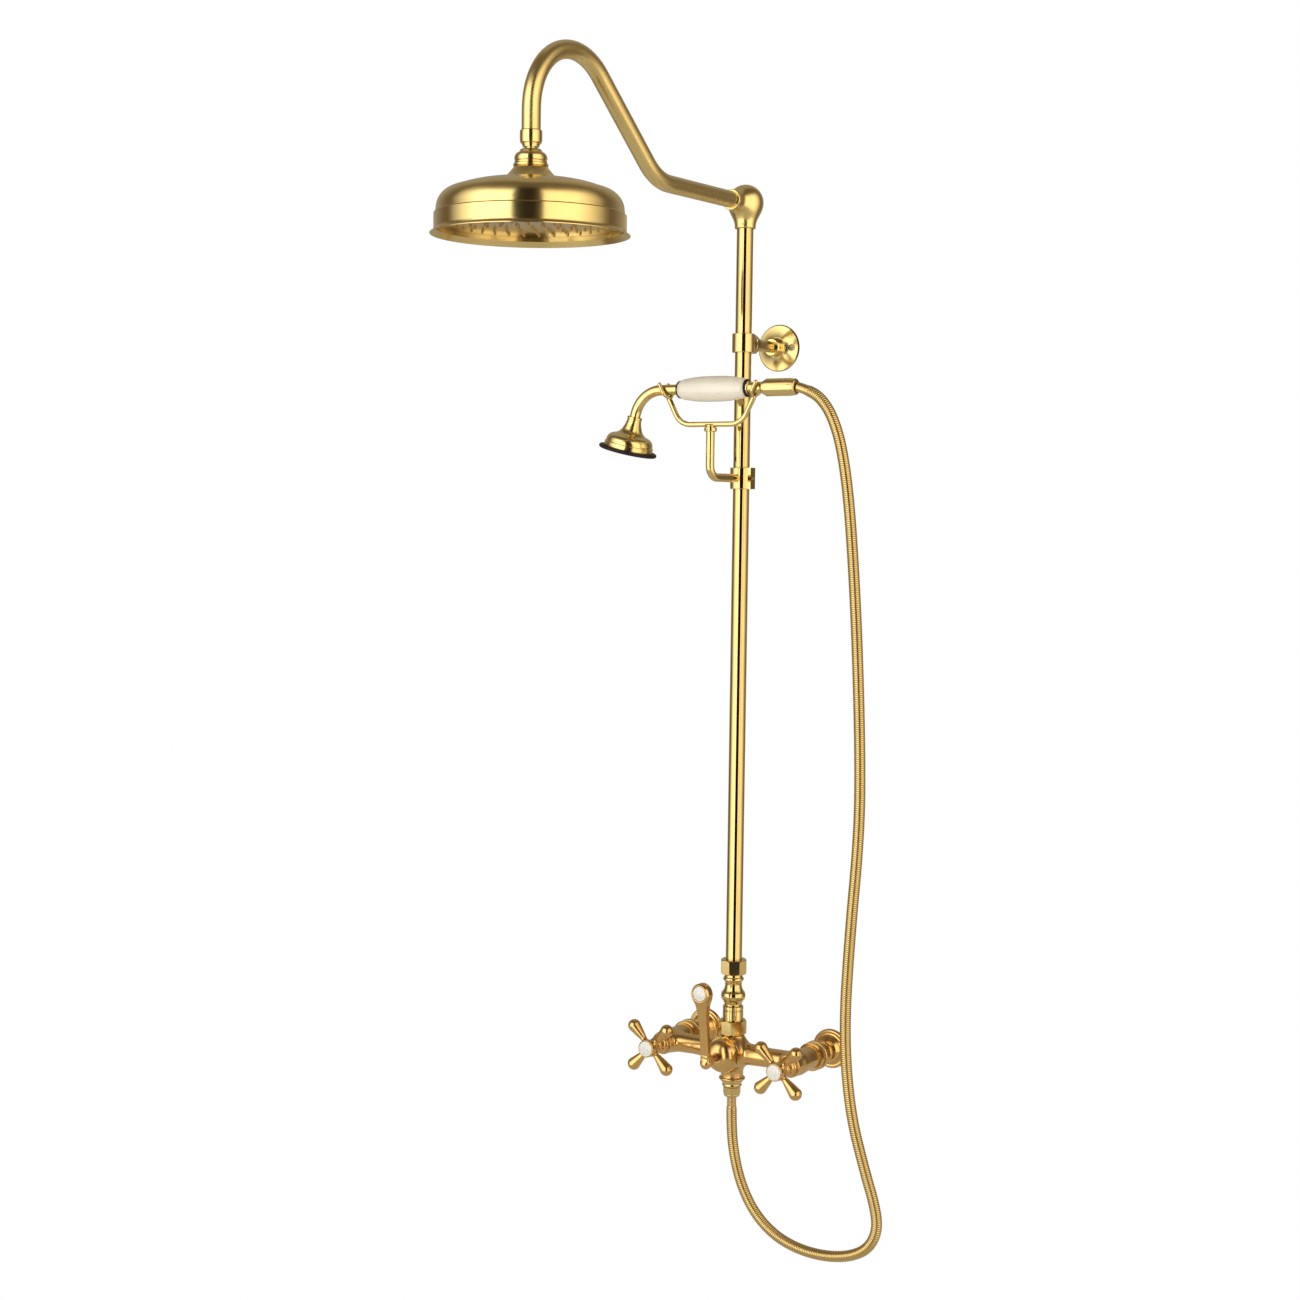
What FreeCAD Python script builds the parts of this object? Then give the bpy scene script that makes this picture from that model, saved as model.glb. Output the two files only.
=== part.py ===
"""Exposed shower column: two-handle wall mixer, riser, swinging arm, rain head and hand shower.

Millimetres.  +Z is up, +Y runs into the wall, and the origin lies on the wall's face midway
between the two inlets.  The riser stands on the line x = 0, y = -wall_to_riser.
"""
import FreeCAD, Part
import math
import os
import Sketcher

os.makedirs("parts", exist_ok=True)
doc = FreeCAD.newDocument("ShowerColumn")

UP = FreeCAD.Vector(0, 0, 1)
DOWN = FreeCAD.Vector(0, 0, -1)
OUT = FreeCAD.Vector(0, -1, 0)
BACK = FreeCAD.Vector(0, 1, 0)
RIGHT = FreeCAD.Vector(1, 0, 0)

SIZES = {
    # where things stand
    "wall_to_riser": 95.0,
    "inlet_spacing": 203.0,
    "bracket_height": 960.0,
    "cradle_height": 780.0,
    "elbow_height": 1145.0,
    "arm_reach": 472.5,
    "rim_height": 1048.0,
    "handset_forward": 79.3,
    "handset_height": 895.0,
    # pipe, fits and shared sections
    "pipe_dia": 22.0,
    "pipe_wall": 1.2,
    "slip_gap": 0.1,
    "run_gap": 0.08,
    "waterway_dia": 14.0,
    # inlets
    "flange_dia": 54.0,
    "flange_depth": 14.0,
    "inlet_thread_dia": 20.0,
    "inlet_thread_depth": 15.0,
    "coupling_dia": 24.0,
    "coupling_ring_dia": 30.0,
    "union_dia": 39.5,
    "union_start": 42.0,
    "union_length": 17.0,
    "spigot_dia": 29.6,
    "washer_thick": 2.0,
    # mixer body
    "barrel_dia": 31.5,
    "barrel_front": 22.0,
    "arm_root_dia": 31.0,
    "arm_waist_dia": 26.0,
    "bulb_dia": 48.6,
    "top_neck_dia": 31.0,
    "top_neck_height": 24.7,
    "low_neck_dia": 35.6,
    "low_neck_depth": 38.0,
    "valve_bore_dia": 21.0,
    "diverter_bore_dia": 28.0,
    # valves and cross handles
    "bonnet_dia": 27.0,
    "bonnet_depth": 11.5,
    "spindle_dia": 8.0,
    "handle_back": 35.0,
    "hub_length": 27.0,
    "hub_dia": 24.0,
    "petal_plane": 15.0,
    "petal_reach": 46.5,
    "petal_dia": 18.0,
    "petal_neck_dia": 7.5,
    "button_dia": 21.0,
    # diverter
    "dome_dia": 48.0,
    "dome_depth": 20.0,
    "dome_flats": 43.5,
    "diverter_spindle_dia": 10.0,
    "lever_forward": 68.0,
    "lever_drop": 3.0,
    "lever_rise": 98.0,
    "lever_lean": 12.0,
    "lever_ball_dia": 15.0,
    "lever_width": 13.2,
    "lever_thick": 9.0,
    "paddle_dia": 27.0,
    "paddle_thick": 13.0,
    # hose outlet
    "adapter_dia": 30.6,
    "adapter_depth": 9.8,
    "hose_nut_dia": 23.8,
    "hose_nut_depth": 14.6,
    "hose_dia": 14.5,
    # column above the body
    "lower_nut_across": 35.0,
    "lower_nut_top": 44.5,
    "upper_nut_across": 34.0,
    "baluster_top": 107.6,
    "upper_nut_top": 127.6,
    "baluster_collar_dia": 28.0,
    "baluster_belly_dia": 33.4,
    "baluster_waist_dia": 22.4,
    "baluster_bead_dia": 27.4,
    # wall bracket
    "bracket_clamp_dia": 30.0,
    "bracket_clamp_height": 25.0,
    "bracket_boss_across": 25.0,
    "bracket_tube_dia": 16.0,
    "bracket_hub_dia": 24.6,
    "bracket_flange_dia": 64.0,
    "bracket_screw_spacing": 44.5,
    "bracket_screw_dia": 5.0,
    "bracket_screw_depth": 13.0,
    # hand shower cradle
    "cradle_clamp_dia": 30.0,
    "cradle_clamp_height": 28.4,
    "post_dia": 11.2,
    "post_bend": 16.0,
    "fork_rod_dia": 7.0,
    "prong_dia": 5.0,
    "fork_bottom": 849.0,
    "fork_half_span": 65.0,
    "prong_half_gap": 10.7,
    "seat_drop": 11.9,
    # arm and elbow
    "elbow_ball_dia": 48.0,
    "elbow_socket_dia": 27.8,
    "elbow_socket_reach": 34.0,
    "arm_corner": 214.3,
    "arm_corner_bend": 77.0,
    "arm_slope_deg": 40.7,
    "arm_crook_bend": 81.0,
    "collar_dia": 25.7,
    "collar_bottom": 1150.0,
    "collar_height": 17.0,
    # ball joint
    "ball_height": 1133.0,
    "ball_dia": 23.0,
    "ball_stem_dia": 13.0,
    "stud_thread_dia": 18.0,
    "swivel_nut_dia": 40.5,
    "swivel_nut_top": 12.0,
    "swivel_nut_bottom": 8.0,
    # rain head
    "rim_dia": 230.0,
    "band_dia": 221.0,
    "dome_edge_dia": 216.0,
    "shell_wall": 1.5,
    "band_top": 23.0,
    "dome_start": 29.0,
    "head_dome_top": 62.4,
    "head_neck_dia": 30.0,
    "head_cone_dia": 39.0,
    "plate_recess": 12.0,
    "plate_thick": 2.0,
    "nozzle_dia": 3.0,
    "nozzle_reach": 2.6,
    "nozzle_ring_step": 17.2,
    # hand shower
    "handset_tube_dia": 14.0,
    "neck_corner": 111.0,
    "neck_bend": 42.0,
    "bell_tilt_deg": 14.0,
    "neck_drop": 36.0,
    "grip_dia": 33.0,
    "grip_end_dia": 21.0,
    "grip_left": 47.0,
    "grip_length": 102.0,
    "grip_washer_thick": 2.5,
    "bell_dia": 66.0,
    "bell_length": 43.3,
    "handset_rim_dia": 79.0,
    "tail_nut_dia": 22.8,
    "tail_nut_start": 84.0,
    "tail_nut_length": 44.7,
}

sheet = doc.addObject("Spreadsheet::Sheet", "sizes")
for row, (name, number) in enumerate(SIZES.items(), start=1):
    sheet.set("A%d" % row, name.replace("_", " "))
    sheet.set("B%d" % row, str(number))
    sheet.setAlias("B%d" % row, name)
doc.recompute()


class Dim:
    """A size that keeps the sheet expression it comes from beside its value."""

    def __init__(self, value, text):
        self.value = float(value)
        self.text = text

    def __add__(self, other):
        other = lift(other)
        return Dim(self.value + other.value, "(%s + %s)" % (self.text, other.text))

    def __sub__(self, other):
        other = lift(other)
        return Dim(self.value - other.value, "(%s - %s)" % (self.text, other.text))

    def __mul__(self, other):
        other = lift(other)
        return Dim(self.value * other.value, "(%s * %s)" % (self.text, other.text))

    def __truediv__(self, other):
        other = lift(other)
        return Dim(self.value / other.value, "(%s / %s)" % (self.text, other.text))

    def __radd__(self, other):
        return lift(other) + self

    def __rsub__(self, other):
        return lift(other) - self

    def __rmul__(self, other):
        return lift(other) * self

    def __neg__(self):
        return lift(0) - self


def lift(size):
    """A plain number as a Dim, and a Dim as it is."""
    if isinstance(size, Dim):
        return size
    return Dim(size, "%.6f" % size)


def size(name):
    return Dim(SIZES[name], "sizes." + name)


def root(dim):
    return Dim(math.sqrt(dim.value), "sqrt(%s)" % dim.text)


def bind(item, prop, dim):
    """Set one property from a Dim, through the sheet."""
    item.setExpression(prop, lift(dim).text)


pieces = []


def place(item, at, along=UP, about=0):
    """Stand a piece's own Z along a direction, turned about it, with its origin at a point."""
    stand = FreeCAD.Rotation(UP, along)
    spin = FreeCAD.Rotation(UP, about)
    base = FreeCAD.Vector(*[lift(n).value for n in at])
    item.Placement = FreeCAD.Placement(base, stand.multiply(spin))
    for axis, number in zip("xyz", at):
        bind(item, "Placement.Base." + axis, number)
    return item


def keep(item, label):
    """Mark an object as one of the column's pieces; its label names its file."""
    item.Label = label
    pieces.append(item)
    return item


# ---- sketches and the bodies made from them -------------------------------------------------

def pin_point(sketch, edge, end, across, height):
    """Fix one end of an edge at its place, through the sheet."""
    for kind, axis, number in (("DistanceX", -2, across), ("DistanceY", -1, height)):
        if number.value == 0:
            sketch.addConstraint(Sketcher.Constraint("PointOnObject", edge, end, axis))
            continue
        rule = sketch.addConstraint(Sketcher.Constraint(kind, -1, 1, edge, end, number.value))
        bind(sketch, "Constraints[%d]" % rule, number)


def bow_radius(start, end, bow):
    run = end[0] - start[0]
    rise = end[1] - start[1]
    return ((run * run + rise * rise) / 4 + bow * bow) / (2 * bow)


def bow_of(radius, start, end):
    """How far an arc of that radius stands off the chord between two points."""
    half_chord = math.hypot(end[0] - start[0], end[1] - start[1]) / 2
    return radius - math.sqrt(radius ** 2 - half_chord ** 2)


def crown(across, rise):
    """Bow of an arc that rises from that radius to meet the axis squarely, as a ball's cap does."""
    chord_squared = across * across + rise * rise
    radius = chord_squared / (2 * rise)
    return radius - root(radius * radius - chord_squared / 4)


def draw(sketch, outline):
    """A closed outline.  A corner is (across, height) or (across, height, bow), where bow is
    how far the edge that arrives there bulges to the right of its direction of travel."""
    corners = [tuple(lift(n) for n in corner) for corner in outline]
    arrive, leave = [], []
    for number, end in enumerate(corners):
        start = corners[number - 1]
        first = FreeCAD.Vector(start[0].value, start[1].value, 0)
        last = FreeCAD.Vector(end[0].value, end[1].value, 0)
        if len(end) == 2:
            sketch.addGeometry(Part.LineSegment(first, last), False)
            leave.append(1)
            arrive.append(2)
            continue
        way = (last - first).normalize()
        middle = (first + last) * 0.5 + FreeCAD.Vector(way.y, -way.x, 0) * end[2].value
        if end[2].value > 0:
            sketch.addGeometry(Part.Arc(first, middle, last), False)
            leave.append(1)
            arrive.append(2)
        else:
            sketch.addGeometry(Part.Arc(last, middle, first), False)
            leave.append(2)
            arrive.append(1)
    for number, end in enumerate(corners):
        following = (number + 1) % len(corners)
        joint = Sketcher.Constraint("Coincident", number, arrive[number],
                                    following, leave[following])
        sketch.addConstraint(joint)
        pin_point(sketch, number, arrive[number], end[0], end[1])
        if len(end) == 3:
            bow = end[2] if end[2].value > 0 else -end[2]
            radius = bow_radius(corners[number - 1], end, bow)
            rule = sketch.addConstraint(Sketcher.Constraint("Radius", number, radius.value))
            bind(sketch, "Constraints[%d]" % rule, radius)


def sketch_on(body, name, plane):
    sketch = body.newObject("Sketcher::SketchObject", name)
    for feature in body.Origin.OriginFeatures:
        if feature.Role == plane:
            sketch.AttachmentSupport = [(feature, "")]
    sketch.MapMode = "FlatFace"
    return sketch


def turned(name, outline):
    """A body turned about its own Z from (radius, height) corners."""
    body = doc.addObject("PartDesign::Body", name)
    sketch = sketch_on(body, name + "_outline", "XZ_Plane")
    draw(sketch, outline)
    turn = body.newObject("PartDesign::Revolution", name + "_turn")
    turn.Profile = sketch
    turn.ReferenceAxis = (sketch, ["V_Axis"])
    turn.Angle = 360
    body.Tip = turn
    return body


def extruded(name, outline, depth, plane="XY_Plane", centred=False):
    """A body pushed out of one outline."""
    body = doc.addObject("PartDesign::Body", name)
    sketch = sketch_on(body, name + "_outline", plane)
    draw(sketch, outline)
    pad = body.newObject("PartDesign::Pad", name + "_pad")
    pad.Profile = sketch
    pad.Midplane = centred
    bind(pad, "Length", depth)
    body.Tip = pad
    return body


# ---- solids put together --------------------------------------------------------------------

def fused(name, *items):
    joined = doc.addObject("Part::MultiFuse", name)
    joined.Shapes = list(items)
    return joined


def less(name, base, *tools):
    """The base with every tool cut out of it."""
    cut = doc.addObject("Part::Cut", name)
    cut.Base = base
    cut.Tool = tools[0] if len(tools) == 1 else fused(name + "_tools", *tools)
    return cut


def shared(name, base, tool):
    overlap = doc.addObject("Part::Common", name)
    overlap.Base = base
    overlap.Tool = tool
    return overlap


def group(label, *items):
    """Several equal pieces that share one node as separate solids."""
    bundle = doc.addObject("Part::Compound", label)
    bundle.Links = list(items)
    return keep(bundle, label)


def rod(name, dia, length, at, along=UP):
    cylinder = doc.addObject("Part::Cylinder", name)
    bind(cylinder, "Radius", lift(dia) / 2)
    bind(cylinder, "Height", length)
    return place(cylinder, at, along)


def ball(name, dia, at):
    sphere = doc.addObject("Part::Sphere", name)
    bind(sphere, "Radius", lift(dia) / 2)
    return place(sphere, at)


def block(name, sides, at):
    box = doc.addObject("Part::Box", name)
    for prop, number in zip(("Length", "Width", "Height"), sides):
        bind(box, prop, number)
    return place(box, at)


def faceted(name, sides, across, height, outline, at, along=UP, about=0):
    """A turned blank cut to flats, as a nut is."""
    blank = turned(name + "_blank", outline)
    prism = doc.addObject("Part::Prism", name + "_flats")
    prism.Polygon = sides
    bind(prism, "Circumradius", across / (2 * math.cos(math.pi / sides)))
    bind(prism, "Height", height)
    return place(shared(name, blank, prism), at, along, about)


def grub_screw(name, dia, length, at, along):
    """A headless screw with a hexagon socket in its outer end."""
    body = turned(name + "_body", [(0, 0), (dia / 2 - 0.4, 0), (dia / 2, 0.4),
                                   (dia / 2, length), (0, length)])
    socket = doc.addObject("Part::Prism", name + "_socket")
    socket.Polygon = 6
    bind(socket, "Circumradius", dia / 4)
    bind(socket, "Height", length)
    place(socket, (0, 0, length / 2))
    return place(less(name, body, socket), at, along)


# ---- bent rods and tubes --------------------------------------------------------------------

def bent_wire(route, bends):
    """Straight runs joined by tangent arcs, one radius for each point between the ends."""
    points = [FreeCAD.Vector(*[lift(n).value for n in point]) for point in route]
    edges = []
    here = points[0]
    for corner, after, radius in zip(points[1:-1], points[2:], bends):
        into = (corner - here).normalize()
        away = (after - corner).normalize()
        half = into.getAngle(away) / 2
        reach = radius * math.tan(half)
        first = corner - into * reach
        last = corner + away * reach
        inward = (away - into).normalize()
        middle = corner + inward * (radius / math.cos(half) - radius)
        if (first - here).Length > 1e-6:
            edges.append(Part.LineSegment(here, first).toShape())
        edges.append(Part.Arc(first, middle, last).toShape())
        here = last
    edges.append(Part.LineSegment(here, points[-1]).toShape())
    return Part.Wire(edges)


def swept(name, route, bends, dia):
    """A round rod that follows a bent wire."""
    spine = doc.addObject("Part::Feature", name + "_spine")
    spine.Shape = bent_wire(route, bends)
    ring = doc.addObject("Part::Circle", name + "_section")
    bind(ring, "Radius", lift(dia) / 2)
    edge = spine.Shape.Edges[0]
    start = edge.tangentAt(edge.FirstParameter)
    ring.Placement = FreeCAD.Placement(edge.valueAt(edge.FirstParameter),
                                       FreeCAD.Rotation(UP, start))
    sweep = doc.addObject("Part::Sweep", name)
    sweep.Sections = [ring]
    sweep.Spine = (spine, ["Edge%d" % (n + 1) for n in range(len(spine.Shape.Edges))])
    sweep.Solid = True
    sweep.Frenet = False
    return sweep


# ---- places used by several sections --------------------------------------------------------

riser_y = -size("wall_to_riser")
inlet_x = size("inlet_spacing") / 2
pipe_dia = size("pipe_dia")
pipe_radius = pipe_dia / 2
slip = size("slip_gap")
run_gap = size("run_gap")
waterway = size("waterway_dia") / 2
handset_y = riser_y - size("handset_forward")
handset_z = size("handset_height")
AXIS_X = (0, riser_y, 0)
SIDES = (("left", -1), ("right", 1))


# ---- inlets: flange, coupling, union nut and washer on each side -----------------------------

def inlet_flange(name, x):
    edge = size("flange_dia") / 2
    hole = size("coupling_dia") / 2 + slip
    deep = size("flange_depth")
    outline = [(edge - 3, 0), (edge, 0), (edge, 2.5), (edge - 4, 5, 1),
               (hole + 6, deep - 4, -2), (hole + 2.5, deep), (hole, deep), (hole, deep - 2),
               (hole + 5, deep - 6), (edge - 6, 3, 2)]
    return place(turned(name, outline), (x, 0, 0), OUT)


def inlet_coupling(name, x):
    """Female-threaded tail with two rings, held to the body by its collar in the union nut."""
    tube = size("coupling_dia") / 2
    ring = size("coupling_ring_dia") / 2
    thread = size("inlet_thread_dia") / 2
    lip = size("union_start")
    collar = lip + 2.5
    outline = [(thread, 0), (tube, 0), (tube, lip - 19), (ring, lip - 16.5, 1.5),
               (tube, lip - 14, 1.5), (tube, lip - 5), (ring, lip - 3, 1), (ring, lip),
               (tube, lip), (tube, collar), (size("spigot_dia") / 2 - 0.3, collar),
               (size("spigot_dia") / 2 - 0.3, collar + 3), (waterway, collar + 3),
               (waterway, size("inlet_thread_depth")), (thread, size("inlet_thread_depth"))]
    return place(turned(name, outline), (x, 0, 0), OUT)


def union_nut(name, x):
    """Round union nut with a bead at each end, over the coupling's collar."""
    outer = size("union_dia") / 2
    long = size("union_length")
    lip = size("coupling_dia") / 2 + slip
    bore = size("spigot_dia") / 2 + slip
    outline = [(lip, 0), (outer - 1.5, 0), (outer, 2, 0.6), (outer, 5), (outer - 2, 6.5, 0.6),
               (outer - 2, long - 5), (outer - 0.5, long - 4), (outer - 0.5, long - 1),
               (outer - 2, long), (bore, long), (bore, 2.5), (lip, 2.5)]
    return place(turned(name, outline), (x, -size("union_start"), 0), OUT)


def flat_washer(name, outer, inner, thick, at, along=UP):
    outline = [(inner, 0), (outer, 0), (outer, thick), (inner, thick)]
    return place(turned(name, outline), at, along)


union_washer_start = size("union_start") + 5.5
spigot_start = union_washer_start + size("washer_thick")
top_spigot = 35.0

flanges, couplings, nuts, washers = [], [], [], []
for side, sign in SIDES:
    x = inlet_x * sign
    flanges.append(inlet_flange("flange_" + side, x))
    couplings.append(inlet_coupling("coupling_" + side, x))
    nuts.append(union_nut("union_nut_" + side, x))
    washers.append(flat_washer("washer_" + side, size("spigot_dia") / 2 - 0.3, waterway,
                               size("washer_thick"), (x, -union_washer_start, 0), OUT))
riser_washer = flat_washer("washer_riser", 11.8, waterway - 1, size("washer_thick"),
                           (0, riser_y, top_spigot))
group("inlet_flanges", *flanges)
group("inlet_couplings", *couplings)
group("union_nuts", *nuts)
group("union_washers", *washers, riser_washer)


# ---- mixer body -----------------------------------------------------------------------------

def body_cross_tube():
    """The two arms, turned about X: thick at the middle and ends, slimmer between."""
    root = size("arm_root_dia") / 2
    waist = size("arm_waist_dia") / 2
    outline = [(0, -inlet_x), (waist + 1.5, -inlet_x), (waist, -inlet_x * 0.6, -0.6),
               (root, -inlet_x * 0.2, -0.8), (root, inlet_x * 0.2),
               (waist, inlet_x * 0.6, -0.8), (waist + 1.5, inlet_x, -0.6), (0, inlet_x)]
    return place(turned("cross_tube", outline), AXIS_X, RIGHT)


def body_column():
    """The upright part: threaded spigot, flared neck, bulb and outlet neck."""
    top = size("top_neck_dia") / 2
    low = size("low_neck_dia") / 2
    height = size("top_neck_height")
    deep = size("low_neck_depth")
    outline = [(0, -deep), (low, -deep), (low, -deep + 2), (low - 2, -deep + 3.5),
               (low - 1.5, -deep + 12, -0.5), (low + 4, -14, -1.2), (top + 6, 8, 3),
               (top, height, -2), (12, height), (12, top_spigot), (0, top_spigot)]
    return place(turned("column", outline), AXIS_X)


def body_barrel(name, x):
    """Valve chamber along Y, from the union spigot to the bonnet."""
    barrel = size("barrel_dia") / 2
    shoulder = size("union_start") + size("union_length")
    front = size("wall_to_riser") + size("barrel_front")
    outline = [(0, spigot_start), (size("spigot_dia") / 2, spigot_start),
               (size("spigot_dia") / 2, shoulder), (barrel - 1, shoulder),
               (barrel, shoulder + 1), (barrel, front - 1.5), (barrel - 1.5, front),
               (0, front)]
    return place(turned(name, outline), (x, 0, 0), OUT)


def mixer_body():
    front = size("barrel_front")
    solids = [body_cross_tube(), body_column(), ball("bulb", size("bulb_dia"), AXIS_X),
              rod("nose", size("bulb_dia"), front, AXIS_X, OUT)]
    cuts = [rod("cross_way", waterway * 2, inlet_x * 2, (-inlet_x, riser_y, 0), RIGHT),
            rod("up_way", waterway * 2 - 2, size("low_neck_depth") + top_spigot + 2,
                (0, riser_y, -size("low_neck_depth") - 1)),
            rod("diverter_bore", size("diverter_bore_dia"), front + 9,
                (0, riser_y + 8, 0), OUT),
            rod("bonnet_seat", size("dome_dia") + 1, 10, (0, riser_y - front, 0), OUT)]
    for side, sign in SIDES:
        x = inlet_x * sign
        solids.append(body_barrel("barrel_" + side, x))
        cuts.append(rod("supply_" + side, waterway * 2, size("wall_to_riser") - spigot_start + 1,
                        (x, riser_y, 0), BACK))
        cuts.append(rod("chamber_" + side, size("valve_bore_dia"), front + 3,
                        (x, riser_y + 2, 0), OUT))
    keep(less("mixer_body", fused("body_casting", *solids), *cuts), "mixer_body")


mixer_body()


# ---- valves and cross handles ---------------------------------------------------------------

def valve_cartridge(name, x):
    outer = size("valve_bore_dia") / 2 - slip
    hole = size("spindle_dia") / 2 + run_gap
    long = size("barrel_front") + 1.8
    outline = [(0, 0), (outer - 2, 0), (outer - 2, 6), (outer, 6.5), (outer, long),
               (hole, long), (hole, 4), (0, 4)]
    return place(turned(name, outline), (x, riser_y + 1.8, 0), OUT)


def valve_bonnet(name, x):
    """Domed cap nut that holds the cartridge in."""
    base = size("bonnet_dia") / 2
    deep = size("bonnet_depth")
    hole = size("spindle_dia") / 2 + run_gap + 0.4
    outline = [(hole, 0), (base, 0), (base, 4), (base - 1, 5), (base - 4.5, deep, 1.6),
               (hole, deep)]
    return place(turned(name, outline), (x, riser_y - size("barrel_front"), 0), OUT)


def petal(name, at, angle):
    """One teardrop arm of a cross handle, thin at the hub and full at the tip."""
    reach = size("petal_reach")
    full = size("petal_dia") / 2
    neck = size("petal_neck_dia") / 2
    outline = [(0, 4), (neck + 2, 4), (neck, reach * 0.32, -0.5), (full, reach * 0.76, -0.4),
               (0, reach, crown(full, reach * 0.24))]
    way = FreeCAD.Vector(math.cos(angle), 0, math.sin(angle))
    return place(turned(name, outline), at, way)


def cross_handle(temperature, x):
    """Hub with four petals, its spindle, screw and porcelain button; all of them turn."""
    back = riser_y - size("handle_back")
    long = size("hub_length")
    hub = size("hub_dia") / 2
    spindle = size("spindle_dia") / 2
    seat = long - 2.5
    outline = [(spindle + 0.05, 0), (hub - 2.5, 0), (hub - 1.5, 2, 0.5), (hub - 4, 6.5, -0.6),
               (hub - 4, size("petal_plane") - 2), (hub - 0.5, size("petal_plane") + 5, -1),
               (hub, long - 2), (hub - 0.5, long, 0.3), (size("button_dia") / 2 + 0.1, long),
               (size("button_dia") / 2 + 0.1, seat), (4.7, seat), (4.7, 18),
               (spindle + 0.05, 18)]
    core = place(turned("hub_core_" + temperature, outline), (x, back, 0), OUT)
    arms = []
    for number in range(4):
        angle = math.radians(45 + 90 * number)
        at = (x, back - size("petal_plane"), 0)
        arms.append(petal("petal_%s_%d" % (temperature, number), at, angle))
    bore = rod("hub_bore_" + temperature, 9.4, 22, (x, back, 0), OUT)
    arms_open = less("petals_" + temperature, fused("petal_set_" + temperature, *arms), bore)
    keep(fused("cross_handle_" + temperature, core, arms_open), "cross_handle_" + temperature)

    length = size("handle_back") + 17.5 - 4
    outline = [(0, 0), (spindle, 0), (spindle, length), (2.5, length), (2.5, length - 12),
               (0, length - 12)]
    stem = place(turned("spindle_" + temperature, outline), (x, riser_y - 4, 0), OUT)
    keep(stem, "valve_spindle_" + temperature)

    outline = [(0, 0), (2.4, 0), (2.4, 10), (4.5, 10), (4.5, 12.5), (3.5, 13.5, 0.3),
               (1.5, 13.5), (1.5, 11.5), (0, 11.5)]
    screw = place(turned("screw_" + temperature, outline), (x, back - 8, 0), OUT)
    keep(screw, "handle_screw_" + temperature)

    disc = size("button_dia") / 2
    outline = [(0, 0), (disc, 0), (disc, 2), (disc - 1, 3, 0.3),
               (0, 3.6, crown(disc - 1, lift(0.6)))]
    button = place(turned("button_" + temperature, outline), (x, back - seat, 0), OUT)
    keep(button, "index_button_" + temperature)


group("valve_cartridges", valve_cartridge("cartridge_hot", -inlet_x),
      valve_cartridge("cartridge_cold", inlet_x))
group("valve_bonnets", valve_bonnet("bonnet_hot", -inlet_x),
      valve_bonnet("bonnet_cold", inlet_x))
cross_handle("hot", -inlet_x)
cross_handle("cold", inlet_x)


# ---- diverter -------------------------------------------------------------------------------

def diverter():
    front = riser_y - size("barrel_front")
    spindle = size("diverter_spindle_dia") / 2
    outer = size("diverter_bore_dia") / 2 - slip
    deep = size("barrel_front") + 7
    outline = [(0, 0), (outer - 2, 0), (outer, 5), (outer, deep), (spindle + run_gap, deep),
               (spindle + run_gap, 12), (0, 12)]
    cartridge = place(turned("diverter_core", outline), (0, riser_y + 7, 0), OUT)
    keep(cartridge, "diverter_cartridge")

    base = size("dome_dia") / 2
    dome = size("dome_depth")
    hole = spindle + run_gap + 0.3
    outline = [(hole, 0), (base, 0), (base, 2.5), (hole + 1.6, dome, 4.9), (hole, dome)]
    cap = turned("dome_blank", outline)
    flats = extruded("dome_hexagon", hexagon(size("dome_flats")), dome)
    ring = turned("dome_ring", [(hole, 0), (base, 0), (base, 2.5), (hole, 2.5)])
    nut = fused("dome_nut", shared("dome_faceted", cap, flats), ring)
    keep(place(nut, (0, front, 0), OUT), "diverter_bonnet")

    length = size("lever_forward") - 3 - 6
    outline = [(0, 0), (spindle, 0), (spindle, length), (0, length)]
    keep(place(turned("diverter_stem", outline), (0, riser_y - 6, 0), OUT), "diverter_spindle")


def hexagon(across):
    """Corners of a hexagon with two corners on its own Y axis."""
    reach = across / (2 * math.cos(math.pi / 6))
    corners = []
    for number in range(6):
        angle = math.radians(30 + 60 * number)
        corners.append((reach * math.cos(angle), reach * math.sin(angle)))
    return corners


def lever_face():
    """The lever seen from the front: a tapering bar that ends in a round paddle."""
    half = size("lever_width") / 2
    rise = size("lever_rise")
    disc = size("paddle_dia") / 2
    side = disc * 0.75
    start = rise - disc * 0.6614
    flare = rise - disc * 3.1
    return [(-half, 0), (half, 0), (half - 0.4, flare), (side, start, -1.5),
            (-side, start, disc * 1.6614), (0.4 - half, flare, -1.5)]


def lever_side():
    """The lever seen from the side: it leans forward as it rises."""
    half = size("lever_thick") / 2
    rise = size("lever_rise")
    lean = size("lever_lean")
    disc = size("paddle_dia") / 2
    thick = size("paddle_thick") / 2
    top = rise + disc + 1
    return [(-half, -1), (half, -1), (half - lean * 0.55, rise * 0.6, -1),
            (thick - lean, rise - disc), (thick - lean, top), (-thick - lean, top),
            (-thick - lean, rise - disc + 1), (-lean - half + 1, rise - disc - 1.5),
            (-half - lean * 0.5, rise * 0.6)]


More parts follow.
